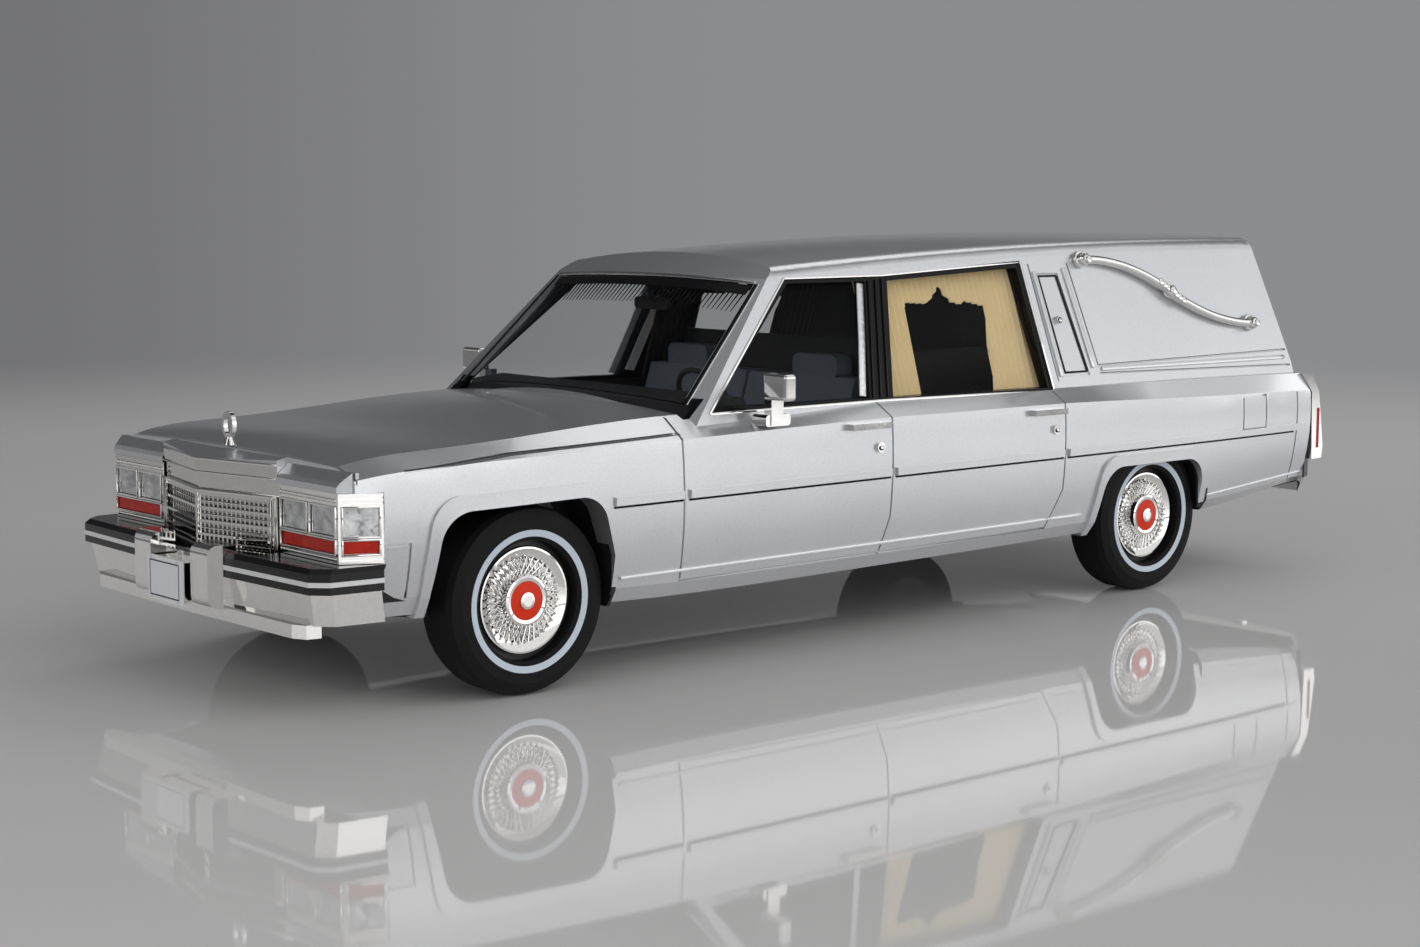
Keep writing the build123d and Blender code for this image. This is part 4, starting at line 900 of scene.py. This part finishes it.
# %% Ribs on the black posts
post_runs = [
    [(-42.7, 23.5), (-45.45, 34.8)],
    [(-43.7, 23.5), (-46.45, 34.85)],
    [(-44.7, 23.5), (-47.35, 34.9)],
]
rib_lift = -0.1
ribs = []
for run in post_runs:
    points = [side_spot(s, z, rib_lift) for s, z in run]
    ribs.append(lay_strip("post_rib_part", points, (forward, 0.22), (leftward, 0.3), 0.05))
post_ribs = with_mirror(join_pieces(ribs, "post_ribs"))
finish_piece(post_ribs, "root", gloss_black)

# %% [markdown]
# The rear edge of the front window has a strip of crinkled foil, and a wider one lies on
# the inner side of the post, where it shows through the glass. The outer strip gets a
# raised field by an inset. The inner one is felt out from the middle of the cabin.

# %% Crinkled foil strips
outer_run = [(-41.6, 23.7), (-43.1, 29.0), (-44.5, 34.5)]
outer_lift = -0.4
inner_run = [(-43.2, 24.0), (-44.5, 29.0), (-45.8, 34.0)]
inner_gap, wall_guess, least_inset = 0.08, 1.6, 1.0
foil_thickness = 0.12
strip_points = [side_spot(s, z, outer_lift) for s, z in outer_run]
foil = lay_strip("foil_strips", strip_points, (forward, 0.85), (leftward, foil_thickness))
pick_faces(foil, lambda centre, normal: normal.y > 0.8)
bpy.ops.mesh.inset(thickness=0.06 * mm, depth=0.03 * mm)
leave_edit()
inner_points = []
for s, z in inner_run:
    start = Vector((at(s), 0, z)) * mm
    found, place, _, _ = nodes["body_shell"].ray_cast(start, leftward)
    y = place.y / mm - inner_gap if found else cabin_side(z) - wall_guess
    inner_points.append(Vector((at(s), min(y, cabin_side(z) - least_inset), z)))
inner_strip = lay_strip("foil_part", inner_points, (forward, 1.2), (leftward, foil_thickness))
foil_strips = with_mirror(join_pieces([foil, inner_strip], "foil_strips"))
finish_piece(foil_strips, "root", crinkled_foil)

# %% [markdown]
# ## Windshield
# The printed shade along the top of the windshield is a black band with a comb of fine
# teeth below it. It could be painted by a mask, but thin pieces on the pane stay sharp at
# any distance. Each tooth is a short strip whose lower end is drawn in.

# %% Shade band and comb
band_width = 1.25
tooth_gaps = 48
tooth_length, tooth_width, tooth_tip = 2.5, 0.24, 0.3
up_windshield = Vector((-windshield_rake, 0, 1)).normalized()


def glass_line(z_low, z_high, half, lift, count=16):
    """Points across the windshield, from right to left, highest in the middle."""
    points = []
    for share in spread(-1, 1, count):
        z = z_high - (z_high - z_low) * share * share
        spot = feel_front("windshield_glass", share * half, z, lift)
        if spot is not None:
            points.append(spot)
    return points


band_points = glass_line(34.05, 34.6, half=14.95, lift=0.10)
band = lay_strip("shade_band", band_points, (up_windshield, band_width), (out_of_windshield, 0.05))
finish_piece(band, "root", gloss_black)
teeth = []
for spot in glass_line(32.1, 32.6, half=14.6, lift=0.03, count=tooth_gaps):
    ends = [spot, spot + up_windshield * tooth_length]
    tooth = lay_strip("tooth_part", ends, (leftward, tooth_width), (out_of_windshield, 0.03))
    pick_faces(tooth, lambda centre, normal: centre.z < (spot.z + 0.01) * mm and normal.z < -0.3)
    bpy.ops.transform.resize(value=(1, tooth_tip, 1))
    leave_edit()
    teeth.append(tooth)
comb = join_pieces(teeth, "shade_comb")
finish_piece(comb, "root", gloss_black)

# %% [markdown]
# Along each windshield post runs a black gasket with a bright trim outside it, and a
# bright line closes the pane at the roof. The pane ends before the post does, so these
# points come from the windshield's formula and not from rays.

# %% Gaskets and trims of the windshield
post_foot_y, post_foot_z = 17.3, 23.9
post_narrowing, post_height = 2.1, 10.8
edge_half, edge_top_z, edge_drop = 15.3, 35.32, 0.45


def post_line(offset, wide, lift, material, name):
    """Line up the left windshield post, and its mirror image."""
    points = []
    for share in spread(0, 1, 8):
        y = post_foot_y - post_narrowing * share + offset
        points.append(windshield_spot(y, post_foot_z + post_height * share, lift))
    strip = lay_strip(name, points, (leftward, wide), (out_of_windshield, 0.12), 0.03)
    return finish_piece(with_mirror(strip), "root", material)


post_line(0.25, 0.34, 0.03, gloss_black, "windshield_gaskets")
post_line(0.60, 0.2, 0.06, bright_plate, "windshield_trims")
edge_points = [windshield_spot(y, edge_top_z - edge_drop * (y / edge_half) ** 2, 0.12)
               for y in spread(-edge_half, edge_half, 17)]
edge_line = lay_strip("windshield_edge", edge_points, ((-1, 0, 1), 0.2), (out_of_windshield, 0.14), 0.03)
finish_piece(edge_line, "root", bright_plate)

# %% [markdown]
# ## Rear quarter
# The vent panel behind the side windows has a black outline and a small turned knob, and
# raised beads frame it and close the landau panel at the foot.

# %% Vent outline and knob
vent = [(-70.9, 34.7), (-73.8, 34.7), (-75.35, 24.6), (-71.75, 24.6)]
vent_lift = -0.1
vent_knob = (-72.4, 30.1)
edges = []
for start, end in zip(vent, vent[1:] + vent[:1]):
    points = [side_spot(*start, vent_lift), side_spot(*end, vent_lift)]
    edges.append(lay_strip("vent_edge_part", points, (across_run(start, end), 0.22), (leftward, 0.12)))
vent_outlines = with_mirror(join_pieces(edges, "vent_outlines"))
finish_piece(vent_outlines, "root", gloss_black)


def turned_knob(name, place, radius, height):
    """Small round knob standing off the leaning cabin side."""
    deselect()
    bpy.ops.mesh.primitive_cylinder_add(vertices=24, radius=radius * mm, depth=height * mm,
                                        rotation=(math.radians(-90) + lean, 0, 0),
                                        location=Vector(place) * mm)
    knob = bpy.context.object
    knob.name = name
    settle()
    edit_all()
    bpy.ops.mesh.bevel(offset=min(radius, height) * 0.25 * mm, segments=3, affect="EDGES")
    leave_edit()
    return knob


vent_knobs = with_mirror(turned_knob("vent_knobs", side_spot(*vent_knob, 0.05), radius=0.42, height=0.5))
finish_piece(vent_knobs, "root", bright_plate)

# %% Raised beads round the vent and along the landau panel
bead_runs = [
    [(-75.0, 35.5), (-76.3, 24.9)],
    [(-70.15, 35.2), (-70.9, 24.2)],
    [(-77.6, 24.75), (-110.6, 24.65)],
]
bead_step = 1.5
bead_lift = 0.06
raised = []
for (s1, z1), (s2, z2) in bead_runs:
    count = max(2, round(math.hypot(s2 - s1, z2 - z1) / bead_step))
    points = [feel_side("body_shell", s1 + (s2 - s1) * share, z1 + (z2 - z1) * share, bead_lift)
              for share in spread(0, 1, count)]
    across = across_run((s1, z1), (s2, z2))
    raised.append(lay_strip("panel_bead_part", points, (across, 0.5), (leftward, 0.3), 0.12))
panel_beads = with_mirror(join_pieces(raised, "panel_beads"))
finish_piece(panel_beads, "root", silver_lacquer)

# %% [markdown]
# Door locks and vent knobs show a black ring round a bright core. Both are turned knobs of
# their own height, so the ring needs no hole.

# %% Rings and cores of the door locks and the vent knobs
lock_faces = [feel_side("door_handles", s, z) for s, z in ((-41.1, 19.0), (-67.0, 19.1))]
lock_faces.append(side_spot(*vent_knob, 0.3))
lock_layers = [  # name, radius, height, stand-off, slot, finish
    ("lock_rings", 0.33, 0.06, 0.01, "window_black", gloss_black),
    ("lock_cores", 0.20, 0.08, 0.05, "chrome_trim", bright_plate),
]
for name, radius, height, stand, slot_name, material in lock_layers:
    parts = [turned_knob("lock_part", spot + leftward * stand, radius, height) for spot in lock_faces]
    finish_piece(with_mirror(join_pieces(parts, name)), "root", material)

# %% [markdown]
# The landau bar is dressed with a row of small turned beads at its middle, and with a disc
# and a bead at each end. One bead is modelled and the others are its copies.

# %% Beads and end discs of the landau bars
bar_ends = [(-77.9, 36.4), (-105.1, 28.8)]
bar_middle = (-91.5, 32.7)
bar_run_station, bar_run_z = -0.84, -0.54
middle_lift, row_lift, end_lift, disc_lift = 1.27, 1.02, 1.44, 0.3
bead_places = [1.95, 1.3, 0.7]
middle_spot = side_spot(*bar_middle, middle_lift)
first = turned_knob("bead_master", middle_spot, radius=0.4, height=0.5)
beads = [first]
for reach in [-place for place in bead_places] + bead_places[::-1]:
    station = bar_middle[0] + reach * bar_run_station
    spot = side_spot(station, bar_middle[1] + reach * bar_run_z, row_lift)
    beads.append(copy_piece(first, "bead_part", spot - middle_spot))
for end in bar_ends:
    beads.append(copy_piece(first, "bead_part", side_spot(*end, end_lift) - middle_spot))
    beads.append(turned_knob("bead_part", side_spot(*end, disc_lift), radius=0.98, height=0.5))
landau_beads = with_mirror(join_pieces(beads, "landau_beads"))
finish_piece(landau_beads, "root", bright_plate)

# %% [markdown]
# ## Nose
# Bright lines edge the pointed grille and its header, fine rows cross it between the
# uprights, and two lines close it at each side. The grille is two flat halves that meet at
# a ridge, so three points are enough for a level line.

# %% Bright lines of the grille
grille_ridge, grille_corner, grille_half = 20.32, 18.05, 9.86
row_half = 9.2
upright_low, upright_high = 11.9, 17.5


def grille_spot(y, z, lift):
    station = grille_ridge - (grille_ridge - grille_corner) * abs(y) / grille_half
    return Vector((at(station) + lift, y, z))


def grille_row(z, half, wide, thick, lift):
    """Level line across the grille, from side to side over the ridge."""
    points = [grille_spot(y, z, lift) for y in (-half, 0, half)]
    return lay_strip("grille_line_part", points, (upward, wide), (forward, thick), 0.03)


grille_lines = [grille_row(z, grille_half, wide, thick=0.16, lift=0.06)
                for z, wide in ((20.36, 0.2), (19.2, 0.14), (17.62, 0.2))]
for y in (-9.6, -9.1, 9.1, 9.6):
    points = [grille_spot(y, upright_low, 0.05), grille_spot(y, upright_high, 0.05)]
    grille_lines.append(lay_strip("grille_line_part", points, (leftward, 0.2), (forward, 0.18), 0.03))
for z in (16.655, 15.485, 14.315, 13.145):
    grille_lines.append(grille_row(z, row_half, wide=0.12, thick=0.2, lift=-0.26))
grille_trims = join_pieces(grille_lines, "grille_trims")
finish_piece(grille_trims, "root", bright_plate)

# %% [markdown]
# Each lamp sits in a raised bright frame. A block is inset at the front and at the back,
# and the two openings are bridged, which leaves a frame with four even sides.

# %% Frames round the lamps
bezel_face = 18.0
lamp_low, lamp_high = 15.3, 17.65
turn_low, turn_high = 13.85, 14.95
rim, stand, sink = 0.16, 0.2, 0.1
lamp_openings = [  # inner y, outer y, low z, high z
    (10.5, 14.5, lamp_low, lamp_high),
    (15.05, 18.9, lamp_low, lamp_high),
    (10.5, 18.9, turn_low, turn_high),
]


def lamp_frame(name, y1, y2, z1, z2):
    """Bright frame that stands round one lamp opening in the front of the bezel."""
    low = (at(bezel_face) - sink, y1 - rim, z1 - rim)
    high = (at(bezel_face) + stand, y2 + rim, z2 + rim)
    frame_piece = start_block(name, low, high)
    for side in (1, -1):
        pick_faces(frame_piece, lambda centre, normal: normal.x * side > 0.9)
        bpy.ops.mesh.inset(thickness=rim * mm)
        bpy.ops.mesh.delete(type="FACE")
    bpy.ops.mesh.select_mode(type="EDGE")
    bpy.ops.mesh.select_all(action="DESELECT")
    bpy.ops.mesh.select_non_manifold()
    bpy.ops.mesh.bridge_edge_loops()
    face_outwards()
    bpy.ops.mesh.bevel(offset=0.05 * mm, segments=2, affect="EDGES")
    leave_edit()
    return frame_piece


lamp_parts = [lamp_frame("lamp_frame_part", *opening) for opening in lamp_openings]
lamp_frames = with_mirror(join_pieces(lamp_parts, "lamp_frames"))
finish_piece(lamp_frames, "root", bright_plate)

# %% [markdown]
# The lamps wrap round the corner of the nose. The wrap is slanted, so its frames are laid
# as strips along the slant instead of cut from a block.

# %% Frames of the side lamps, on the slanted wrap
wrap_start, wrap_end = Vector((at(18.0), 19.25, 0)), Vector((at(14.65), 20.85, 0))
wrap_dir = (wrap_end - wrap_start).normalized()
wrap_out = Vector((wrap_dir.y, -wrap_dir.x, 0))
corners = [wrap_start + wrap_dir * reach + wrap_out * 0.06 for reach in (0.3, 3.4)]
side_edges = []


def wrap_line(points, across):
    side_edges.append(lay_strip("side_edge_part", points, (across, 0.18), (wrap_out, 0.22), 0.04))


for z1, z2 in ((lamp_low, lamp_high), (turn_low, turn_high)):
    for z in (z1 - rim / 2, z2 + rim / 2):
        wrap_line([corner + upward * z for corner in corners], upward)
    for corner in corners:
        wrap_line([corner + upward * z for z in (z1 - rim, z2 + rim)], wrap_dir)
side_frames = with_mirror(join_pieces(side_edges, "side_lamp_frames"))
finish_piece(side_frames, "root", bright_plate)

# %% [markdown]
# Fine beads run above and below the lamps. One small ball is repeated by an array, which
# is quicker than placing each, and is drawn a little taller.

# %% Beads above and below the lamps
bead_radius, bead_pitch, bead_count, bead_stretch = 0.12, 0.3, 29, 1.4
bead_start_y, bead_sink = 10.4, 0.02
bead_rows = []
for z in (18.25, 13.42):
    deselect()
    bead_place = Vector((at(bezel_face) + bead_sink, bead_start_y, z)) * mm
    bpy.ops.mesh.primitive_uv_sphere_add(segments=10, ring_count=6, radius=bead_radius * mm,
                                         location=bead_place)
    bead = bpy.context.object
    bead.name = "bezel_bead_part"
    settle()
    row = bead.modifiers.new("row", "ARRAY")
    row.use_relative_offset = False
    row.use_constant_offset = True
    row.constant_offset_displace = (0, bead_pitch * mm, 0)
    row.count = bead_count
    hold(bead)
    bpy.ops.object.modifier_apply(modifier="row")
    edit_all()
    bpy.ops.transform.resize(value=(1, 1, bead_stretch), center_override=(0, 0, z * mm))
    leave_edit()
    bead_rows.append(bead)
bezel_beads = with_mirror(join_pieces(bead_rows, "bezel_beads"))
finish_piece(bezel_beads, "root", bright_plate, 60)

# %% [markdown]
# ## Number plates
# The plates stay blank. Each has a thin printed border, laid as four flat strips, and four
# small screws between the border and the edge.

# %% Borders of the blank number plates
plate_half, plate_height = 2.95, 3.87
border_margin, border_sink = 0.42, 0.015
plates = [  # end, x of the face, low z, outward side
    ("front", 70.5, 8.05, 1),
    ("rear", at(-113.7), 15.4, -1),
]
for end, face_x, low_z, out in plates:
    y1, y2 = -plate_half + border_margin, plate_half - border_margin
    z1, z2 = low_z + border_margin, low_z + plate_height - border_margin
    x = face_x - out * border_sink
    border = []
    for start, finish, wide in (((y1, z1), (y2, z1), upward), ((y1, z2), (y2, z2), upward),
                                ((y1, z1), (y1, z2), leftward), ((y2, z1), (y2, z2), leftward)):
        points = [Vector((x, *start)), Vector((x, *finish))]
        border.append(lay_strip("border_part", points, (wide, 0.13), (forward * out, 0.04)))
    plate_border = join_pieces(border, end + "_plate_border")
    finish_piece(plate_border, "root", border_ink)

# %% Screws of the number plates
screw_y, screw_inset = 2.3, 0.2
screw_radius, screw_height, screw_sink = 0.11, 0.08, 0.035
for end, face_x, low_z, out in plates:
    screws = []
    for y in (-screw_y, screw_y):
        for z in (low_z + screw_inset, low_z + plate_height - screw_inset):
            deselect()
            screw_place = Vector((face_x - out * screw_sink, y, z)) * mm
            bpy.ops.mesh.primitive_cylinder_add(vertices=12, radius=screw_radius * mm,
                                                depth=screw_height * mm, location=screw_place,
                                                rotation=(0, math.radians(90), 0))
            screws.append(bpy.context.object)
            edit_all()
            bpy.ops.mesh.bevel(offset=0.02 * mm, segments=1, affect="EDGES")
            leave_edit()
    finish_piece(join_pieces(screws, end + "_plate_screws"), "root", axle_steel)

# %% [markdown]
# ## Floor and light
# The model stands on a pale glossy sheet in front of a plain grey sweep. The sweep is darker on the left,
# which is painted shade. The floor is one large disc whose far part glows with the sweep's tone and so
# fades into it, so that no hard edge shows, and both take their tone from the same left and right values.

# %% Tone of the sweep from left to right
# The darker left tone is painted shade on the plain grey sweep.
sweep_left = (0.165, 0.166, 0.171)
sweep_right = (0.262, 0.264, 0.270)
sweep_top = (0.055, 0.056, 0.060)
sweep_left_at, sweep_right_at = -0.34, 0.04


def smooth_range(tree, start, end):
    """Node that turns a value between two limits into a soft step from 0 to 1."""
    soft_step = tree.new("ShaderNodeMapRange")
    soft_step.interpolation_type = "SMOOTHSTEP"
    soft_step.inputs["From Min"].default_value = start
    soft_step.inputs["From Max"].default_value = end
    return soft_step


def sweep_tone(tree, wires, vector_socket):
    """Colour that runs from the left tone to the right one, along the picture's width."""
    across = tree.new("ShaderNodeVectorMath")
    across.operation = "DOT_PRODUCT"
    across.inputs[1].default_value = right
    share = smooth_range(tree, sweep_left_at, sweep_right_at)
    tone = tree.new("ShaderNodeMix")
    tone.data_type = "RGBA"
    tone.inputs["A"].default_value = (*sweep_left, 1)
    tone.inputs["B"].default_value = (*sweep_right, 1)
    wires.new(vector_socket, across.inputs[0])
    wires.new(across.outputs["Value"], share.inputs["Value"])
    wires.new(share.outputs["Result"], tone.inputs["Factor"])
    return tone.outputs["Result"]


print("sweep from", sweep_left, "to", sweep_right)

# %% Floor
floor_radius = 8.0
floor_drop = 0.00002
fade_start, fade_end = 0.20, 0.42
floor_material = bpy.data.materials.new("pale_floor")
floor_material.use_nodes = True
tree, wires = floor_material.node_tree.nodes, floor_material.node_tree.links
shader = tree["Principled BSDF"]
shader.inputs["Base Color"].default_value = (0.90, 0.89, 0.88, 1)
shader.inputs["Roughness"].default_value = 0.035
shader.inputs["IOR"].default_value = 1.5
place = tree.new("ShaderNodeTexCoord")
distance = tree.new("ShaderNodeVectorMath")
distance.operation = "LENGTH"
fade = smooth_range(tree, fade_start, fade_end)
# Painted shade: the far part of the floor glows with the sweep's tone, darker on the left as seen from the
# camera.
glow = tree.new("ShaderNodeEmission")
mix = tree.new("ShaderNodeMixShader")
wires.new(place.outputs["Object"], distance.inputs[0])
wires.new(distance.outputs["Value"], fade.inputs["Value"])
wires.new(fade.outputs["Result"], mix.inputs["Fac"])
bearing = tree.new("ShaderNodeVectorMath")
bearing.operation = "SUBTRACT"
bearing.inputs[1].default_value = camera_place
level = tree.new("ShaderNodeVectorMath")
level.operation = "NORMALIZE"
wires.new(place.outputs["Object"], bearing.inputs[0])
wires.new(bearing.outputs["Vector"], level.inputs[0])
wires.new(sweep_tone(tree, wires, level.outputs["Vector"]), glow.inputs["Color"])
wires.new(shader.outputs["BSDF"], mix.inputs[1])
wires.new(glow.outputs["Emission"], mix.inputs[2])
wires.new(mix.outputs["Shader"], tree["Material Output"].inputs["Surface"])
deselect()
bpy.ops.mesh.primitive_circle_add(vertices=128, radius=floor_radius, fill_type="NGON",
                                  location=(0, 0, -floor_drop))
floor = bpy.context.object
floor.name = "floor"
floor.data.materials.append(floor_material)
print("floor radius", floor_radius, "m")

# %% [markdown]
# The world has two jobs. Diffuse rays meet an even soft grey. Camera, glossy and
# transmission rays meet the sweep, which turns dark higher up, so that the hood and the
# windshield stay dark between the bright sides.

# %% World
soft_grey, soft_strength = (0.5, 0.5, 0.51, 1), 0.36
top_start, top_end = 0.09, 0.24
world = bpy.data.worlds.new("studio")
bpy.context.scene.world = world
world.use_nodes = True
tree, wires = world.node_tree.nodes, world.node_tree.links
soft = tree["Background"]
soft.inputs["Color"].default_value = soft_grey
soft.inputs["Strength"].default_value = soft_strength
seen = tree.new("ShaderNodeBackground")
place = tree.new("ShaderNodeTexCoord")
split = tree.new("ShaderNodeSeparateXYZ")
rise = smooth_range(tree, top_start, top_end)
tone = tree.new("ShaderNodeMix")
tone.data_type = "RGBA"
tone.inputs["B"].default_value = (*sweep_top, 1)
path = tree.new("ShaderNodeLightPath")
mirrored = tree.new("ShaderNodeMath")
mirrored.operation = "MAXIMUM"
passed = tree.new("ShaderNodeMath")
passed.operation = "MAXIMUM"
mix = tree.new("ShaderNodeMixShader")
wires.new(place.outputs["Generated"], split.inputs["Vector"])
wires.new(split.outputs["Z"], rise.inputs["Value"])
wires.new(rise.outputs["Result"], tone.inputs["Factor"])
wires.new(sweep_tone(tree, wires, place.outputs["Generated"]), tone.inputs["A"])
wires.new(tone.outputs["Result"], seen.inputs["Color"])
wires.new(path.outputs["Is Camera Ray"], mirrored.inputs[0])
wires.new(path.outputs["Is Glossy Ray"], mirrored.inputs[1])
wires.new(mirrored.outputs[0], passed.inputs[0])
wires.new(path.outputs["Is Transmission Ray"], passed.inputs[1])
wires.new(passed.outputs[0], mix.inputs["Fac"])
wires.new(soft.outputs["Background"], mix.inputs[1])
wires.new(seen.outputs["Background"], mix.inputs[2])
wires.new(mix.outputs["Shader"], tree["World Output"].inputs["Surface"])
print("world ready")

# %% [markdown]
# The reflections in the photograph show large soft boxes. Here two stand beside the model
# and whiten the doors, one lights the shoulder and the roof, one is before the nose, and
# weak ones are above, on the far side and behind. Area lamps give the same soft edges.

# %% Soft boxes
soft_boxes = [  # name, place, target, width, height, watts
    ("over_box", (0.10, -0.20, 0.95), (0, 0, 0), 0.9, 0.9, 0.6),
    ("low_side_box", (-0.60, 1.38, 0.26), (0, 0, 0.05), 3.2, 0.5, 7.8),
    ("high_side_box", (-0.60, 1.28, 0.92), (0, 0, 0.05), 3.2, 0.85, 6.5),
    ("shoulder_box", (-0.45, 0.86, 1.30), (0, 0, 0.02), 2.8, 0.6, 2.8),
    ("far_box", (0.50, -0.90, 0.28), (0.06, 0, 0.01), 0.5, 0.35, 0.15),
    ("nose_box", (1.05, 0.25, 0.45), (0.05, 0, 0.01), 1.3, 0.7, 2.7),
    ("back_box", (-0.75, -0.45, 0.85), (0, 0, 0.01), 0.6, 0.4, 1.0),
]
for name, place, target, width, height, watts in soft_boxes:
    lamp = bpy.data.lights.new(name, "AREA")
    lamp.shape = "RECTANGLE"
    lamp.size = width
    lamp.size_y = height
    lamp.energy = watts
    holder = bpy.data.objects.new(name, lamp)
    bpy.context.scene.collection.objects.link(holder)
    holder.location = place
    holder.rotation_euler = (Vector(target) - Vector(place)).to_track_quat("-Z", "Y").to_euler()
print("lights", len(bpy.data.lights))
